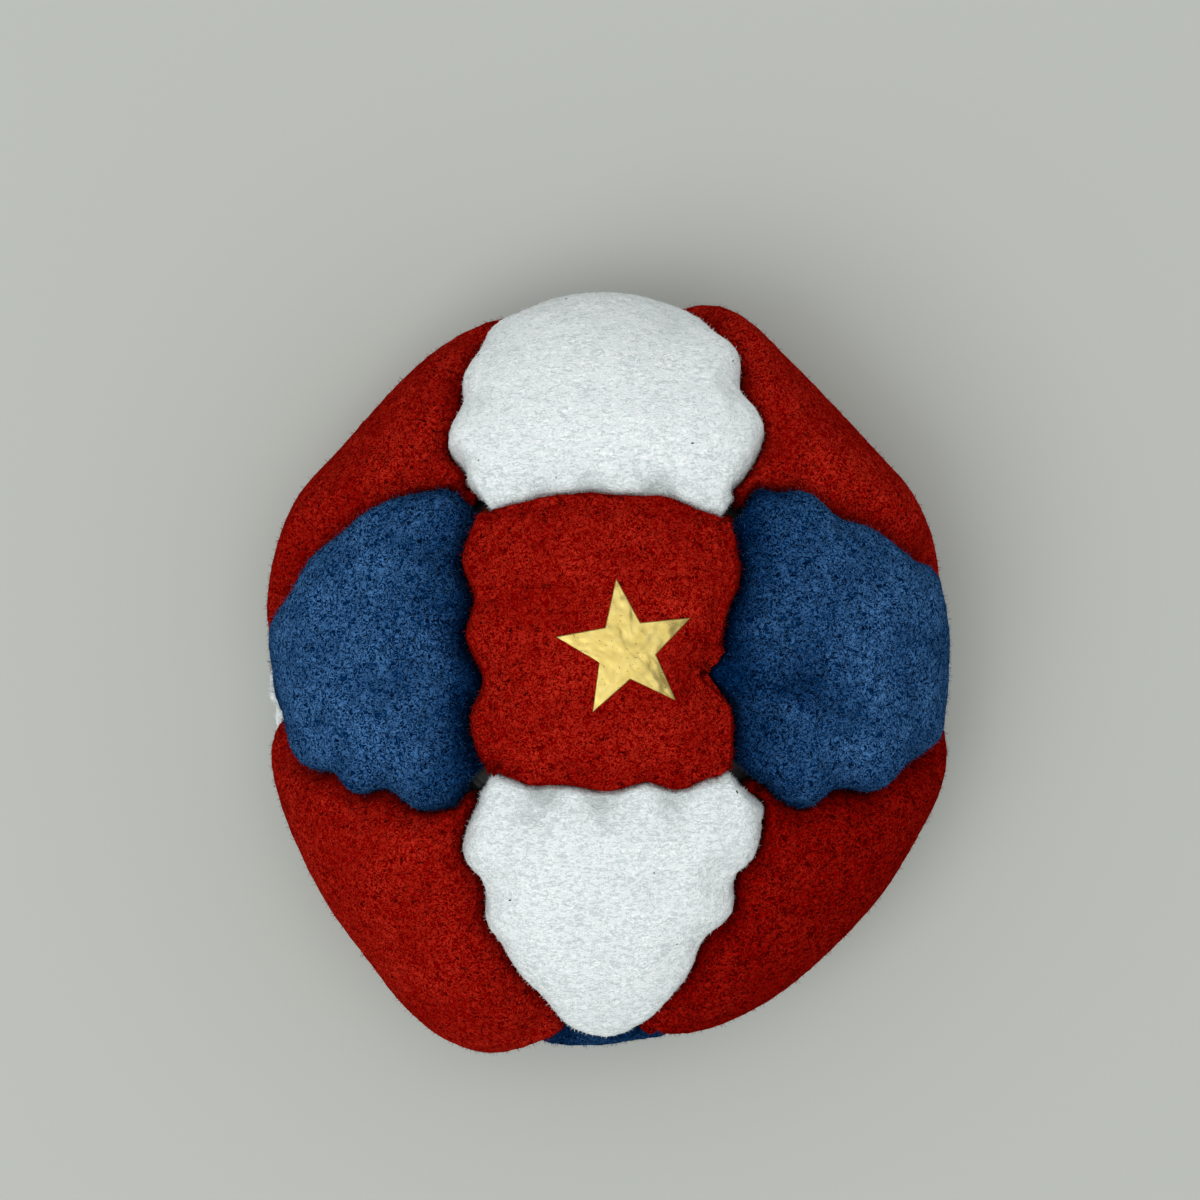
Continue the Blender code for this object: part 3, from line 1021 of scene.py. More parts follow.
@dataclass(frozen=True)
class Settling:
    """Cloth simulation that lets the pellets push the sewn suede out between its seams.

    It runs on an enlarged copy, because the solver is made for cloth of a person's size.
    """

    enlarged: float = 20.0
    frames: int = 16
    pressure: float = 4.0
    spare: float = -0.05
    stiffness: float = 18.0
    shearing: float = 6.0
    bending: float = 6.0
    pinning: float = 10.0
    mass: float = 0.3
    quality: int = 6
    most: float = 1.2 * MM
    stiff_rim: float = 3.0 * MM

    def settle(self, panels: list[Panel], nets: list[bpy.types.Mesh]) -> list[Array]:
        """Settle the panels, all at once.

        Args:
            panels: the panels.
            nets: the mesh of each.

        Returns:
            The settled places of each panel's vertices.
        """
        bag = bmesh.new()
        for net in nets:
            bag.from_mesh(net)
        bmesh.ops.scale(bag, vec=Vector((self.enlarged,) * 3), verts=bag.verts)
        sewn = [vertex.index for vertex in bag.verts if vertex.is_boundary]
        item = object_of(mesh_of(bag, "settling_bag"), "settling_bag")
        item.vertex_groups.new(name="sewn").add(sewn, 1.0, "REPLACE")
        self.dress(item.modifiers.new("Cloth", "CLOTH"))
        scene = bpy.context.scene
        for frame_number in range(1, self.frames + 1):
            scene.frame_set(frame_number)
        evaluated = item.evaluated_get(bpy.context.evaluated_depsgraph_get())
        after = read_vectors(evaluated.data.vertices, "co") / self.enlarged
        bpy.data.objects.remove(item, do_unlink=True)
        scene.frame_set(1)
        settled = []
        for panel in panels:
            places, after = after[:len(panel.places)], after[len(panel.places):]
            move = places - panel.places
            ways_out = panel.envelope.outward(panel.places)
            swell = float(np.mean(np.sum(move * ways_out, axis=1)))
            move -= ways_out * swell
            length = np.linalg.norm(move, axis=1)
            move *= (np.tanh(length / self.most) * self.most / np.maximum(length, TINY))[:, None]
            move *= smooth_step(panel.apart / self.stiff_rim)[:, None]
            log.info("%s swelled by %.2f mm, and moved by %.2f mm at most", panel.name,
                     swell / MM, np.max(length) / MM)
            settled.append(panel.hold(panel.places + move))
        return settled

    def dress(self, cloth: bpy.types.ClothModifier) -> None:
        """Set the cloth up as thick suede under pressure from inside.

        Args:
            cloth: the modifier.
        """
        settings = cloth.settings
        settings.quality = self.quality
        settings.mass = self.mass
        settings.tension_stiffness = settings.compression_stiffness = self.stiffness
        settings.shear_stiffness = self.shearing
        settings.bending_stiffness = self.bending
        settings.vertex_group_mass = "sewn"
        settings.pin_stiffness = self.pinning
        settings.shrink_min = self.spare
        settings.use_pressure = True
        settings.uniform_pressure_force = self.pressure
        settings.effector_weights.gravity = 0
        cloth.collision_settings.use_collision = False
        cloth.point_cache.frame_start = 1
        cloth.point_cache.frame_end = self.frames


def copies_of(template: bmesh.types.BMesh, places: Array, turns: Array, name: str
              ) -> bpy.types.Object:
    """Put many copies of one small shape in one piece.

    Args:
        template: the shape, which is freed.
        places: where each copy goes.
        turns: the turn and scale of each copy, as a matrix of three rows.
        name: name of the piece.

    Returns:
        The piece.
    """
    corners = np.array([vertex.co[:] for vertex in template.verts])
    faces = np.array([[vertex.index for vertex in face.verts] for face in template.faces])
    template.free()
    spread = np.einsum("nij,vj->nvi", turns, corners) + places[:, None, :]
    numbers = faces[None] + np.arange(len(places))[:, None, None] * len(corners)
    mesh = bpy.data.meshes.new(name)
    mesh.from_pydata(spread.reshape(-1, 3), [], numbers.reshape(-1, faces.shape[1]).tolist())
    mesh.shade_smooth()
    return object_of(mesh, name)


def turns_towards(ways: Array, random: np.random.Generator) -> Array:
    """Turn copies of a shape, each with a free spin about its own way.

    Args:
        ways: unit vector that the +Z of each copy turns to.
        random: source of the spins.

    Returns:
        A matrix of three rows for each copy.
    """
    spins = random.normal(size=ways.shape)
    sides = np.cross(ways, spins)
    sides /= np.linalg.norm(sides, axis=1)[:, None]
    return np.stack([sides, np.cross(ways, sides), ways], axis=2)


def scattered(surfaces: list[bpy.types.Object], random: np.random.Generator, tries: int,
              lowest: float, most: int | None = None) -> tuple[Array, Array]:
    """Pick places on panels at random.

    Args:
        surfaces: the panels.
        random: source of the picks.
        tries: how many places are tried on each panel.
        lowest: height over the table under which none is kept.
        most: how many are kept on each panel, or None to keep all.

    Returns:
        The places, and the way out of the suede at each.
    """
    places, ways = [], []
    for surface in surfaces:
        points = read_vectors(surface.data.vertices, "co")
        normals = read_vectors(surface.data.vertices, "normal")
        picked = random.choice(len(points), tries, replace=False)
        picked = picked[points[picked, 2] > lowest][:most]
        places.append(points[picked])
        ways.append(normals[picked])
    return np.concatenate(places), np.concatenate(ways)


# How far the loose fibres of each colour stand out.
FIBRE_LENGTHS = {Suede.RED: 0.28 * MM, Suede.BLUE: 0.26 * MM, Suede.WHITE: 0.18 * MM}


@dataclass(frozen=True)
class StrayFibres:
    """Loose fibres that stand out of the brushed nap and soften the bag's outline.

    The real ones are about 0.01 mm thick. These are as coarse as they need to be to show.
    """

    length: float
    thickness: float = 0.036 * MM
    root: float = 0.5
    tip: float = 0.18
    bend: float = 0.5
    each: int = 4600
    lean: float = 1.3
    lowest: float = 0.5 * MM
    least: float = 0.5
    most: float = 1.5
    seed: int = 40

    def fibre(self) -> bmesh.types.BMesh:
        """Model one fibre: a thin, tapering, three-sided hair that leans.

        Returns:
            The hair.
        """
        hair = bmesh.new()
        bmesh.ops.create_cone(hair, cap_ends=False, segments=3, radius1=self.root,
                              radius2=self.tip, depth=1.0)
        bmesh.ops.translate(hair, vec=Vector((0, 0, 0.5)), verts=hair.verts)
        for vertex in hair.verts:
            vertex.co.x *= self.thickness
            vertex.co.y *= self.thickness
            vertex.co.x += vertex.co.z ** 2 * self.length * self.bend
            vertex.co.z *= self.length
        hair.verts.index_update()
        return hair

    def build(self, surfaces: list[bpy.types.Object], suede: Suede) -> bpy.types.Object:
        """Scatter the fibres over every panel of one colour.

        Args:
            surfaces: the panels.
            suede: their colour.

        Returns:
            The piece.
        """
        random = np.random.default_rng(len(suede.value) + self.seed)
        places, ways = scattered(surfaces, random, self.each, self.lowest)
        ways = ways + random.normal(scale=self.lean / 2, size=places.shape)
        ways /= np.linalg.norm(ways, axis=1)[:, None]
        turns = turns_towards(ways, random)
        turns *= random.uniform(self.least, self.most, len(places))[:, None, None]
        return copies_of(self.fibre(), places, turns, "stray_fibres_" + suede.value)


@dataclass(frozen=True)
class StitchedThread:
    """A waxed thread that runs along the floor of a seam in even stitches."""

    diameter: float = 0.45 * MM
    stitch: float = 2.2 * MM
    depth: float = 5.2 * MM
    sway: float = 0.12 * MM
    dip: float = 0.3 * MM
    dip_power: int = 6
    end_share: float = 0.03
    fewest: int = 3
    knots_each: int = 8
    roundness: int = 2

    def build(self, name: str, seam: Seam) -> bpy.types.Object:
        """Model the thread of one seam.

        Args:
            name: node that it stands for.
            seam: the seam.

        Returns:
            The piece.
        """
        stitches = max(round(seam.length / self.stitch), self.fewest)
        knots = stitches * self.knots_each + 1
        share = np.linspace(self.end_share, 1 - self.end_share, knots)
        phase = np.linspace(0, math.pi * stitches, knots)
        chord = seam.start[None] * (1 - share)[:, None] + seam.end[None] * share[:, None]
        over = seam.envelope.onto(seam.middle + chord)
        aside = seam.bow_at(share) + seam.scallops_at(share) + self.sway * np.sin(phase)
        over = seam.envelope.onto(over + aside[:, None] * seam.rightward)
        deep = self.depth + self.dip * np.cos(phase) ** self.dip_power
        places = over - seam.envelope.outward(over) * deep[:, None]
        places[:, 2] = np.maximum(places[:, 2], self.diameter)
        curve = bpy.data.curves.new(name, "CURVE")
        curve.dimensions = "3D"
        curve.bevel_depth = self.diameter / 2
        curve.bevel_resolution = self.roundness
        curve.use_fill_caps = True
        run = curve.splines.new("POLY")
        run.points.add(len(places) - 1)
        for knot, place in zip(run.points, places):
            knot.co = (*place, 1)
        return object_of(curve, name + "_stitches")


@dataclass(frozen=True)
class CornerKnot:
    """The thread wound round the point where four panels meet."""

    # Near-black and deep in the corner's hole, the knot also paints the shade there.
    size: float = 3.6 * MM
    depth: float = 6.5 * MM
    flatness: float = 0.38
    windings: int = 4
    winding_rise: float = 0.06

    def build(self, name: str, corner: Array, envelope: Envelope) -> bpy.types.Object:
        """Model the knot of one corner.

        Args:
            name: name of the corner.
            corner: its place on the envelope.
            envelope: form of the bag.

        Returns:
            The piece.
        """
        way_out = Vector(envelope.outward(corner[None])[0])
        knot = bmesh.new()
        bmesh.ops.create_icosphere(knot, subdivisions=3, radius=self.size / 2)
        for vertex in knot.verts:
            turn = math.atan2(vertex.co.y, vertex.co.x)
            winding = math.sin(vertex.co.z / self.size * math.tau * self.windings + turn)
            vertex.co *= 1 + self.winding_rise * winding
        bmesh.ops.scale(knot, vec=Vector((1, 1, self.flatness)), verts=knot.verts)
        turn = way_out.to_track_quat("Z", "Y").to_matrix()
        bmesh.ops.rotate(knot, cent=Vector(), matrix=turn, verts=knot.verts)
        place = Vector(corner) - way_out * self.depth
        place.z = max(place.z, self.size / 2)
        bmesh.ops.translate(knot, vec=place, verts=knot.verts)
        mesh = mesh_of(knot, "corner_knot_" + name)
        mesh.shade_smooth()
        return object_of(mesh, mesh.name)


@dataclass(frozen=True)
class Lint:
    """Dark bits of fluff caught in the white nap."""

    size: float = 0.2 * MM
    form: tuple[float, float, float] = (1.6, 0.7, 0.5)
    each: int = 9
    tries: int = 27
    lowest: float = 3.0 * MM
    least: float = 0.5
    most: float = 1.2
    seed: int = 5

    def build(self, surfaces: list[bpy.types.Object]) -> bpy.types.Object:
        """Scatter the bits over the white panels.

        Args:
            surfaces: the panels.

        Returns:
            The piece.
        """
        random = np.random.default_rng(self.seed)
        bit = bmesh.new()
        bmesh.ops.create_icosphere(bit, subdivisions=1, radius=self.size / 2)
        bmesh.ops.scale(bit, vec=Vector(self.form), verts=bit.verts)
        places, ways = scattered(surfaces, random, self.tries, self.lowest, self.each)
        turns = turns_towards(ways, random)
        turns *= random.uniform(self.least, self.most, len(ways))[:, None, None]
        return copies_of(bit, places, turns, "lint_on_white_panels")


@dataclass(frozen=True)
class FoilStar:
    """A plain five-pointed star of gold foil pressed on the top panel."""

    across: float = 1.38 * MM
    along: float = 1.93 * MM
    points: int = 5
    outer: float = 6.0 * MM
    inner_share: float = 0.42
    cuts: int = 23
    lift: float = 0.07 * MM
    thickness: float = 0.03 * MM
    tilt: float = math.radians(8)
    over_bag: float = 30.0 * MM
    evening: float = 0.5

    def build(self, panel: bpy.types.Object) -> bpy.types.Object:
        """Press the star on a panel.

        Args:
            panel: the panel.

        Returns:
            The piece.
        """
        star = bmesh.new()
        bmesh.ops.create_circle(star, cap_ends=False, segments=2 * self.points,
                                radius=self.outer)
        star.verts.ensure_lookup_table()
        for vertex in star.verts:
            if vertex.index % 2:
                vertex.co *= self.inner_share
        middle = star.verts.new((0, 0, 0))
        for edge in list(star.edges):
            star.faces.new((*edge.verts, middle))
        bmesh.ops.subdivide_edges(star, edges=star.edges[:], cuts=self.cuts,
                                  use_grid_fill=True)
        bmesh.ops.rotate(star, cent=Vector(), matrix=Euler((0, 0, self.tilt)).to_matrix(),
                         verts=star.verts)
        bmesh.ops.translate(star, vec=Vector((self.across, self.along, 0)), verts=star.verts)
        surface = BVHTree.FromObject(panel, bpy.context.evaluated_depsgraph_get())
        above = 2 * self.outer + self.over_bag
        for vertex in star.verts:
            place, normal, _, _ = surface.ray_cast(Vector((*vertex.co.xy, above)),
                                                   Vector((0, 0, -1)))
            vertex.co = place + normal * self.lift
        bmesh.ops.smooth_vert(star, verts=star.verts, factor=self.evening, use_axis_z=True)
        bmesh.ops.recalc_face_normals(star, faces=star.faces)
        if sum(face.normal.z for face in star.faces) < 0:
            bmesh.ops.reverse_faces(star, faces=star.faces)
        mesh = mesh_of(star, "foil_star")
        mesh.shade_smooth()
        piece = object_of(mesh, mesh.name)
        thicken(piece, self.thickness)
        return piece


@dataclass(frozen=True)
class Pellets:
    """The loose plastic pellets that fill the bag."""

    size: float = 3.1 * MM
    pitch: float = 3.35 * MM
    flatness: float = 0.72
    cover: float = 6.3 * MM
    clear: float = 3.2 * MM
    layers: int = 12
    layer_share: float = 0.71
    shaken: float = 0.12
    seed: int = 12

    def pellet(self) -> bmesh.types.BMesh:
        """Model one pellet: a cut and tumbled drop of plastic.

        Returns:
            The drop.
        """
        drop = bmesh.new()
        bmesh.ops.create_icosphere(drop, subdivisions=1, radius=self.size / 2)
        bmesh.ops.scale(drop, vec=Vector((1, 1, self.flatness)), verts=drop.verts)
        drop.verts.index_update()
        return drop

    def build(self, envelope: Envelope, corners: list[Array]) -> bpy.types.Object:
        """Pack the pellets into the bag, clear of the knots in its corners.

        Args:
            envelope: form of the bag.
            corners: places of the corners on the envelope.

        Returns:
            The piece.
        """
        random = np.random.default_rng(self.seed)
        half = envelope.length / 2
        steps = np.arange(-half, half, self.pitch)
        rows = []
        for layer in range(self.layers):
            shift = (layer % 2) * self.pitch / 2
            up = layer * self.pitch * self.layer_share
            rows += [(across + shift, along + shift, up) for across in steps for along in steps]
        rows = np.array(rows)
        rows += random.uniform(-self.shaken, self.shaken, rows.shape) * self.pitch
        rows[:, 2] += self.size
        outer = rows + envelope.outward(rows) * self.cover
        inside = (envelope.level(outer) < 1) & (rows[:, 2] < envelope.height - self.cover / 2)
        for corner in corners:
            knot = corner - envelope.outward(corner[None])[0] * CornerKnot.depth
            inside &= np.linalg.norm(rows - knot, axis=1) > self.clear
        places = rows[inside]
        ways = random.normal(size=places.shape)
        ways /= np.linalg.norm(ways, axis=1)[:, None]
        return copies_of(self.pellet(), places, turns_towards(ways, random), "loose_pellets")


def srgb(text: str) -> tuple[float, float, float, float]:
    """Turn an sRGB colour into the linear one that a shader takes.

    Args:
        text: the colour in hex, such as #b1b5af.

    Returns:
        Red, green, blue and an alpha of 1.
    """
    values = [int(text[place:place + 2], 16) / 255 for place in (1, 3, 5)]
    linear = [value / 12.92 if value <= 0.04045 else ((value + 0.055) / 1.055) ** 2.4
              for value in values]
    return (*linear, 1.0)


def add_node(tree: bpy.types.NodeTree, kind: str, settings: dict | None = None,
             links: dict | None = None) -> bpy.types.Node:
    """Add a node to a material.

    Args:
        tree: the material's nodes.
        kind: type name of the node.
        settings: values by input name or number, or by property name.
        links: output sockets by input name or number.

    Returns:
        The node.
    """
    node = tree.nodes.new(kind)
    for key, value in (settings or {}).items():
        if isinstance(key, str) and hasattr(node, key):
            setattr(node, key, value)
        else:
            node.inputs[key].default_value = value
    for key, socket in (links or {}).items():
        tree.links.new(socket, node.inputs[key])
    return node


def per(length: float) -> float:
    """Scale of a pattern whose grain has this length."""
    return 1 / length


def start_finish(name: str, roughness: float
                 ) -> tuple[bpy.types.Material, bpy.types.NodeTree, bpy.types.Node]:
    """Start a material.

    Args:
        name: its name.
        roughness: how dull it is, from 0 to 1.

    Returns:
        The material, its nodes and its shader.
    """
    finish = bpy.data.materials.new(name)
    finish.use_nodes = True
    shader = finish.node_tree.nodes["Principled BSDF"]
    shader.inputs["Roughness"].default_value = roughness
    return finish, finish.node_tree, shader


@dataclass(frozen=True)
class SuedeFinish:
    """Microfibre suede: woven of hair-thin polyester and brushed until it naps.

    It is matt, with a sheen where the nap stands. Its fibres are far too thin to show, so the
    curls and the pits between them are as coarse as the clumps that the eye sees.
    """

    name: str
    pit: str
    ground: str
    tip: str
    sheen: float
    stretch: tuple[float, float, float] = (1.0, 1.0, 1.0)
    distortion: float = 1.4
    curl: float = 0.41 * MM
    curl_detail: float = 1.5
    curl_width: float = 0.1
    pit_run: float = 0.39 * MM
    pit_detail: float = 2.0
    pit_edge: float = 0.53
    pit_softness: float = 0.12
    # How far painted shade adds pits.
    pits_from_shade: float = 0.16
    stroke_run: float = 4.0 * MM
    stroke_detail: float = 2.0
    stroke_range: tuple[float, float] = (0.3, 0.65)
    stroke_light: tuple[float, float] = (0.5, 1.0)
    nap_height: float = 0.07 * MM
    nap_strength: float = 0.6
    roughness: float = 0.97
    sheen_roughness: float = 0.4

    def curls(self, tree: bpy.types.NodeTree, place: bpy.types.NodeSocket
              ) -> bpy.types.NodeSocket:
        """Draw the curled fibres: thin lines where a noise crosses its middle.

        Args:
            tree: the material's nodes.
            place: the place on the piece.

        Returns:
            1 on a fibre and 0 beside it.
        """
        grain = add_node(tree, "ShaderNodeTexNoise",
                         {"Scale": per(self.curl), "Detail": self.curl_detail,
                          "Distortion": self.distortion}, {"Vector": place}).outputs["Fac"]
        away = add_node(tree, "ShaderNodeMath", {"operation": "SUBTRACT", 1: 0.5},
                        {0: grain}).outputs[0]
        away = add_node(tree, "ShaderNodeMath", {"operation": "ABSOLUTE"}, {0: away}).outputs[0]
        return add_node(tree, "ShaderNodeMapRange",
                        {"From Min": 0.0, "From Max": self.curl_width,
                         "To Min": 1.0, "To Max": 0.0}, {"Value": away}).outputs["Result"]

    def pits(self, tree: bpy.types.NodeTree, place: bpy.types.NodeSocket,
             painted_shade: bpy.types.NodeSocket, curl: bpy.types.NodeSocket
             ) -> bpy.types.NodeSocket:
        """Draw the dark pits between the fibres, more of them where shade is painted.

        Args:
            tree: the material's nodes.
            place: the place on the piece.
            painted_shade: how much shade is painted there.
            curl: the fibres, which no pit lies over.

        Returns:
            1 in a pit and 0 beside it.
        """
        hollow = add_node(tree, "ShaderNodeTexNoise",
                          {"Scale": per(self.pit_run), "Detail": self.pit_detail,
                           "Distortion": self.distortion}, {"Vector": place}).outputs["Fac"]
        # Painted shade raises the noise, so more pits open where shade is painted.
        hollow = add_node(tree, "ShaderNodeMath",
                          {"operation": "MULTIPLY_ADD", 1: self.pits_from_shade},
                          {0: painted_shade, 2: hollow}).outputs[0]
        pit = add_node(tree, "ShaderNodeMapRange",
                       {"From Min": self.pit_edge, "From Max": self.pit_edge + self.pit_softness},
                       {"Value": hollow}).outputs["Result"]
        free = add_node(tree, "ShaderNodeMath", {"operation": "SUBTRACT", 0: 1.0},
                        {1: curl}).outputs[0]
        return add_node(tree, "ShaderNodeMath", {"operation": "MULTIPLY"},
                        {0: pit, 1: free}).outputs[0]

    def colour(self, tree: bpy.types.NodeTree, place: bpy.types.NodeSocket,
               painted_shade: bpy.types.NodeSocket, curl: bpy.types.NodeSocket,
               pit: bpy.types.NodeSocket) -> bpy.types.NodeSocket:
        """Colour the nap: light fibres in broad strokes, a darker ground, deep pits and painted
        shade.

        Args:
            tree: the material's nodes.
            place: the place on the piece.
            painted_shade: how much shade is painted, which fades the fibres into the ground.
            curl: the fibres.
            pit: the pits.

        Returns:
            The colour.
        """
        stroke = add_node(tree, "ShaderNodeTexNoise",
                          {"Scale": per(self.stroke_run), "Detail": self.stroke_detail},
                          {"Vector": place}).outputs["Fac"]
        (start, end), (dim, bright) = self.stroke_range, self.stroke_light
        stroke = add_node(tree, "ShaderNodeMapRange",
                          {"From Min": start, "From Max": end, "To Min": dim, "To Max": bright},
                          {"Value": stroke}).outputs["Result"]
        light = add_node(tree, "ShaderNodeMath", {"operation": "MULTIPLY"},
                         {0: curl, 1: stroke}).outputs[0]
        ground = srgb(self.ground)
        colour = add_node(tree, "ShaderNodeMix", {"data_type": "RGBA", 6: ground,
                                                  7: srgb(self.tip)}, {0: light}).outputs[2]
        # Painted shade: the fibres fade into the darker ground.
        colour = add_node(tree, "ShaderNodeMix", {"data_type": "RGBA", 7: ground},
                          {0: painted_shade, 6: colour}).outputs[2]
        return add_node(tree, "ShaderNodeMix", {"data_type": "RGBA", 7: srgb(self.pit)},
                        {0: pit, 6: colour}).outputs[2]

    def material(self) -> bpy.types.Material:
        """Make the finish: light curled fibres over a darker ground with small deep pits.

        Returns:
            The material.
        """
        finish, tree, shader = start_finish(self.name, self.roughness)
        place = add_node(tree, "ShaderNodeTexCoord").outputs["Object"]
        place = add_node(tree, "ShaderNodeMapping", {"Scale": self.stretch},
                         {"Vector": place}).outputs["Vector"]
        # The painted shade that each piece carries.
        painted_shade = add_node(tree, "ShaderNodeAttribute",
                           {"attribute_name": PAINTED_SHADE_ATTRIBUTE}).outputs["Fac"]
        curl = self.curls(tree, place)
        pit = self.pits(tree, place, painted_shade, curl)
        height = add_node(tree, "ShaderNodeMath", {"operation": "SUBTRACT"},
                          {0: curl, 1: pit}).outputs[0]
        bump = add_node(tree, "ShaderNodeBump",
                        {"Strength": self.nap_strength, "Distance": self.nap_height},
                        {"Height": height})
        colour = self.colour(tree, place, painted_shade, curl, pit)
        tree.links.new(colour, shader.inputs["Base Color"])
        tree.links.new(bump.outputs["Normal"], shader.inputs["Normal"])
        shader.inputs["Specular IOR Level"].default_value = 0.0
        shader.inputs["Sheen Weight"].default_value = self.sheen
        shader.inputs["Sheen Roughness"].default_value = self.sheen_roughness
        shader.inputs["Sheen Tint"].default_value = srgb(self.tip)
        return finish


@dataclass(frozen=True)
class TwistedThreadFinish:
    """Waxed polyester thread: dull, with the ridges of its twisted plies.

    The real plies are 0.2 mm wide. They are drawn coarser, so that they show.
    """

    name: str = "waxed_polyester_thread"
    dark: str = "#040405"
    light: str = "#0b0b0d"
    plies: float = 1.5 * MM
    distortion: float = 1.5
    ridge: float = 0.05 * MM
    strength: float = 0.6
    roughness: float = 0.6

    def material(self) -> bpy.types.Material:
        """Make the finish, with the plies as fine waves.

        Returns:
            The material.
        """
        finish, tree, shader = start_finish(self.name, self.roughness)
        place = add_node(tree, "ShaderNodeTexCoord").outputs["Object"]
        plies = add_node(tree, "ShaderNodeTexWave",
                         {"Scale": per(self.plies), "Distortion": self.distortion,
                          "bands_direction": "DIAGONAL"}, {"Vector": place}).outputs["Fac"]
        bump = add_node(tree, "ShaderNodeBump",
                        {"Strength": self.strength, "Distance": self.ridge}, {"Height": plies})
        colour = add_node(tree, "ShaderNodeMix",
                          {"data_type": "RGBA", 6: srgb(self.dark), 7: srgb(self.light)},
                          {0: plies}).outputs[2]
        tree.links.new(bump.outputs["Normal"], shader.inputs["Normal"])
        tree.links.new(colour, shader.inputs["Base Color"])
        return finish


@dataclass(frozen=True)
class PelletFinish:
    """Reground polyethylene: cut and tumbled, slightly glossy, of mixed greys."""

    name: str = "polyethylene_pellets"
    dark: str = "#9a9890"
    light: str = "#e0ded6"
    lot: float = 3.0 * MM
    detail: float = 1.0
    roughness: float = 0.4

    def material(self) -> bpy.types.Material:
        """Make the finish, mottled from pellet to pellet.

        Returns:
            The material.
        """
        finish, tree, shader = start_finish(self.name, self.roughness)
        place = add_node(tree, "ShaderNodeTexCoord").outputs["Object"]
        lots = add_node(tree, "ShaderNodeTexNoise",
                        {"Scale": per(self.lot), "Detail": self.detail},
                        {"Vector": place}).outputs["Fac"]
        colour = add_node(tree, "ShaderNodeMix",
                          {"data_type": "RGBA", 6: srgb(self.dark), 7: srgb(self.light)},
                          {0: lots}).outputs[2]
        tree.links.new(colour, shader.inputs["Base Color"])
        return finish


@dataclass(frozen=True)
class GoldFoilFinish:
    """Hot-stamped gold foil: a bright metal film, a little crinkled by the nap under it."""

    name: str = "hot_stamped_gold_foil"
    dark: str = "#9a843f"
    light: str = "#bbac6c"
    crinkle: float = 1.1 * MM
    detail: float = 4.0
    distortion: float = 0.6
    relief: float = 0.05 * MM
    strength: float = 0.3
    roughness: float = 0.34

    def material(self) -> bpy.types.Material:
        """Make the finish, with long soft crinkles.

        Returns:
            The material.
        """
        finish, tree, shader = start_finish(self.name, self.roughness)
        place = add_node(tree, "ShaderNodeTexCoord").outputs["Object"]
        crinkles = add_node(tree, "ShaderNodeTexNoise",
                            {"Scale": per(self.crinkle), "Detail": self.detail,
                             "Distortion": self.distortion}, {"Vector": place}).outputs["Fac"]
        bump = add_node(tree, "ShaderNodeBump",
                        {"Strength": self.strength, "Distance": self.relief},
                        {"Height": crinkles})
        colour = add_node(tree, "ShaderNodeMix",
                          {"data_type": "RGBA", 6: srgb(self.dark), 7: srgb(self.light)},
                          {0: crinkles}).outputs[2]
        tree.links.new(colour, shader.inputs["Base Color"])
        tree.links.new(bump.outputs["Normal"], shader.inputs["Normal"])
        shader.inputs["Metallic"].default_value = 1.0
        return finish


@dataclass(frozen=True)
class LaminateFinish:
    """Pressed melamine laminate: an even, dull, pale sheet that only takes the bag's shadow."""

    name: str = "pale_grey_laminate"
    shade: str = "#b1b5af"
    roughness: float = 0.7

    def material(self) -> bpy.types.Material:
        """Make the finish, in one plain shade.

        Returns:
            The material.
        """
        finish, _, shader = start_finish(self.name, self.roughness)
        shader.inputs["Base Color"].default_value = srgb(self.shade)
        return finish


FINISHES = {
    Suede.RED: SuedeFinish("red_microfibre_suede", "#380000", "#760000", "#bc2a1b", 0.01),
    Suede.BLUE: SuedeFinish("blue_microfibre_suede", "#000c22", "#02254c", "#4f80b6", 0.01),
    Suede.WHITE: SuedeFinish("white_microfibre_suede", "#c9d4d4", "#dfe8e8", "#fcffff", 0.02,
                             stretch=(0.5, 1.0, 1.0), curl=0.3 * MM, pit_run=0.34 * MM),
}


@dataclass(frozen=True)
class Lamp:
    """A square lamp that faces the bag. Its power is in watts."""

    name: str
    place: tuple[float, float, float]
    size: float
    power: float

    def hang(self) -> None:
        """Hang the lamp in the scene."""
        light = bpy.data.lights.new(self.name, "AREA")
        light.shape = "SQUARE"
        light.size = self.size
        light.energy = self.power
        lamp = object_of(light, self.name)
        lamp.location = self.place
        lamp.rotation_euler = (-Vector(self.place)).to_track_quat("-Z", "Y").to_euler()


@dataclass(frozen=True)
class Studio:
    """The pale table, the soft lights in a bright room, and the camera."""

    view: PhotoView
    table_side: float = 3.0
    lamps: tuple[Lamp, ...] = (Lamp("window", (-0.5, -0.42, 1.0), 0.7, 4.3),
                               Lamp("ceiling", (0.0, 0.0, 1.2), 0.9, 4.4))
    room_light: float = 0.62
    nearest_seen: float = 10.0 * MM

    def table(self) -> None:
        """Lay a wide, plain, pale table under the bag."""
        bpy.ops.mesh.primitive_plane_add(size=self.table_side, location=(0, 0, 0))
        table = bpy.context.object
        table.name = "table_top"
        table.data.materials.append(LaminateFinish().material())

    def lights(self) -> None:
        """Light the bag from the left, softly, with a bright room round it."""
        for lamp in self.lamps:
            lamp.hang()
        world = bpy.data.worlds.new("room")
        world.use_nodes = True
        back = world.node_tree.nodes["Background"]
        back.inputs["Color"].default_value = (1.0, 1.0, 1.0, 1.0)
        back.inputs["Strength"].default_value = self.room_light
        bpy.context.scene.world = world

    def camera(self) -> None:
        """Point the camera straight down, as the photograph does."""
        data = bpy.data.cameras.new("camera")
        data.sensor_width = self.view.sensor
        data.lens = self.view.lens()
        data.clip_start = self.nearest_seen
        camera = object_of(data, "camera")
        camera.location = Vector(self.view.place())
        bpy.context.scene.camera = camera

    def build(self) -> None:
        """Set up the studio."""
        self.table()
        self.lights()
        self.camera()
        bpy.context.scene.view_settings.view_transform = "Standard"


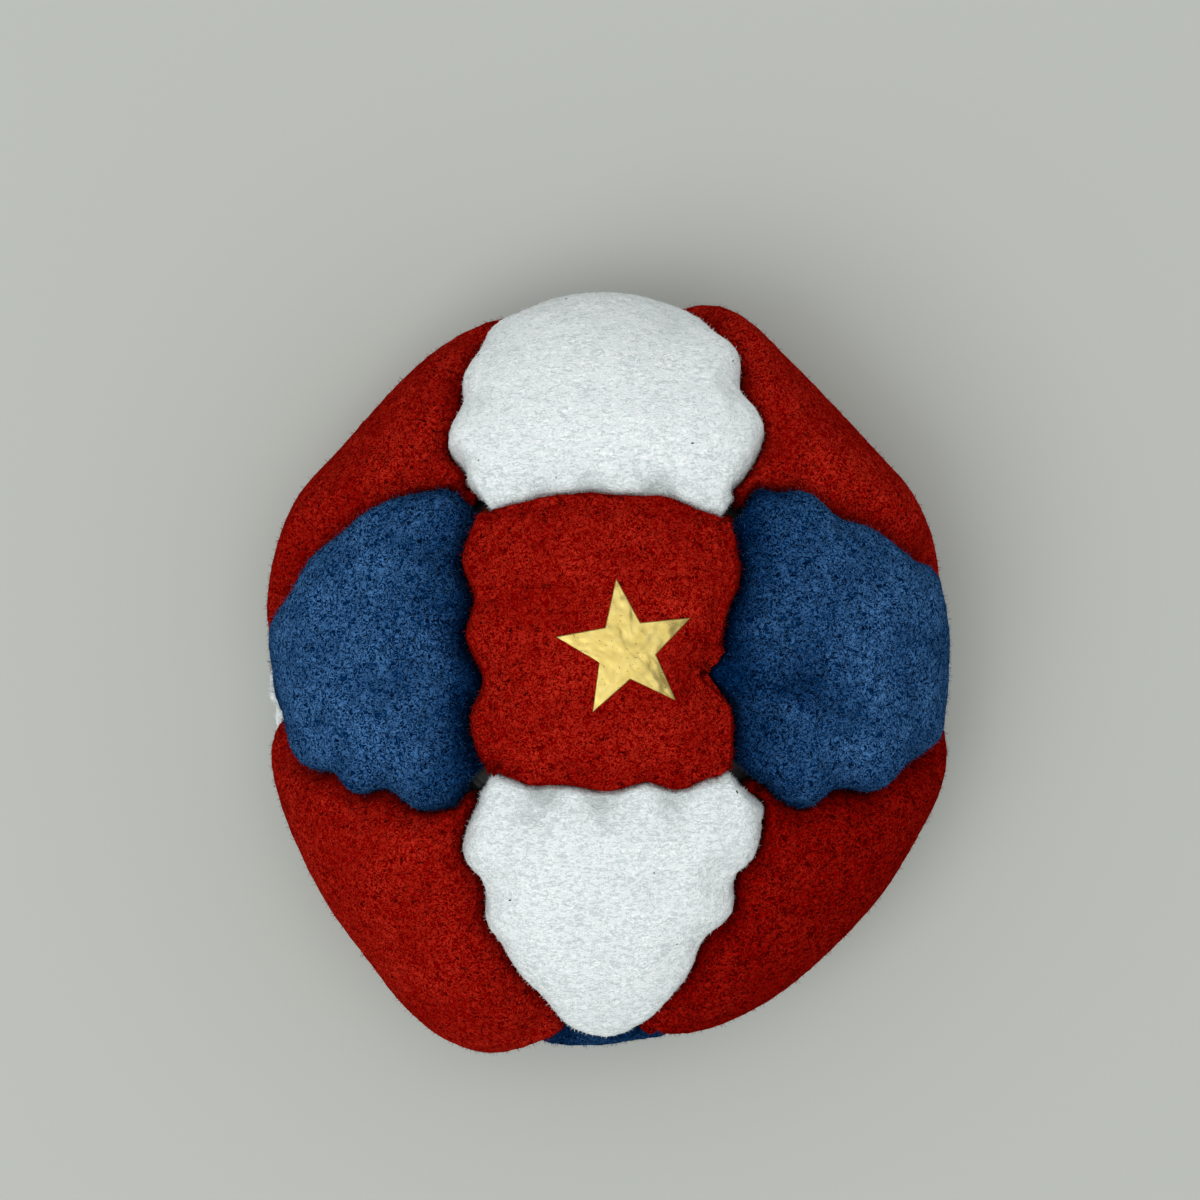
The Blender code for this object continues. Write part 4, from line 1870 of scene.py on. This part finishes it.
class Footbag:
    """The bag: its panels, their seams and what fills it."""

    def __init__(self, view: PhotoView) -> None:
        """Lay out the corners, seams and panels.

        Args:
            view: camera that the seams and dents are placed by.
        """
        self.envelope = Envelope()
        self.corners = make_corners(self.envelope)
        self.seams = make_seams(self.envelope, self.corners, view, SeamStyle())
        self.panels = []
        for name, corners in SQUARES.items():
            rim = TIGHT_RIM if name in ("top", "bottom") else LOW_RIM
            self.panels.append(Panel("panel_square_" + name, corners, self.corners, self.seams,
                                     view, Suede.RED, rim, PanelStyle()))
        for name, corners in TRIANGLES.items():
            suede = Suede.WHITE if name in WHITE_TRIANGLES else Suede.BLUE
            self.panels.append(Panel("panel_triangle_" + name, corners, self.corners, self.seams,
                                     view, suede, TIGHT_RIM, PanelStyle()))

    @staticmethod
    def dress(piece: bpy.types.Object, material: bpy.types.Material, slot: str,
              *nodes: str) -> None:
        """Give a piece its finish, hide the parts that it stands for and parent it to the root.

        Args:
            piece: the piece.
            material: its finish.
            slot: not used.
            nodes: the nodes that the piece stands for.
        """
        piece.data.materials.clear()
        piece.data.materials.append(material)
        if nodes:
            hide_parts(*nodes)
        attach(piece, "root")
        log.info("%s is made", piece.name)

    def build(self) -> None:
        """Model and dress every piece."""
        materials = {suede: finish.material() for suede, finish in FINISHES.items()}
        nets = [panel.lay_out() for panel in self.panels]
        settled = Settling().settle(self.panels, nets)
        surfaces = {suede: [] for suede in Suede}
        for panel, net, places in zip(self.panels, nets, settled):
            piece = panel.finish(net, places)
            self.dress(piece, materials[panel.suede], panel.suede.value, panel.name)
            surfaces[panel.suede].append(piece)
        for suede, pieces in surfaces.items():
            fibres = StrayFibres(length=FIBRE_LENGTHS[suede]).build(pieces, suede)
            self.dress(fibres, materials[suede], suede.value)
        thread = TwistedThreadFinish().material()
        for name, corner in self.corners.items():
            self.dress(CornerKnot().build(name, corner, self.envelope), thread, "seam_thread")
        self.dress(Lint().build(surfaces[Suede.WHITE]), thread, "seam_thread")
        top = next(piece for piece in surfaces[Suede.RED] if "square_top" in piece.name)
        star = FoilStar().build(top)
        self.dress(star, GoldFoilFinish().material(), "")
        for (start, end), seam in self.seams.items():
            name = "seam_thread_" + start + "_to_" + end
            self.dress(StitchedThread().build(name, seam), thread, "seam_thread", name)
        pellets = Pellets().build(self.envelope, list(self.corners.values()))
        self.dress(pellets, PelletFinish().material(), "plastic_pellets", "pellet_fill")


def main() -> None:
    """Build the footbag in its studio."""
    logging.basicConfig(level=logging.INFO, format="%(name)s: %(message)s")
    view = PhotoView()
    Footbag(view).build()
    Studio(view).build()


if __name__ == "__main__":
    main()
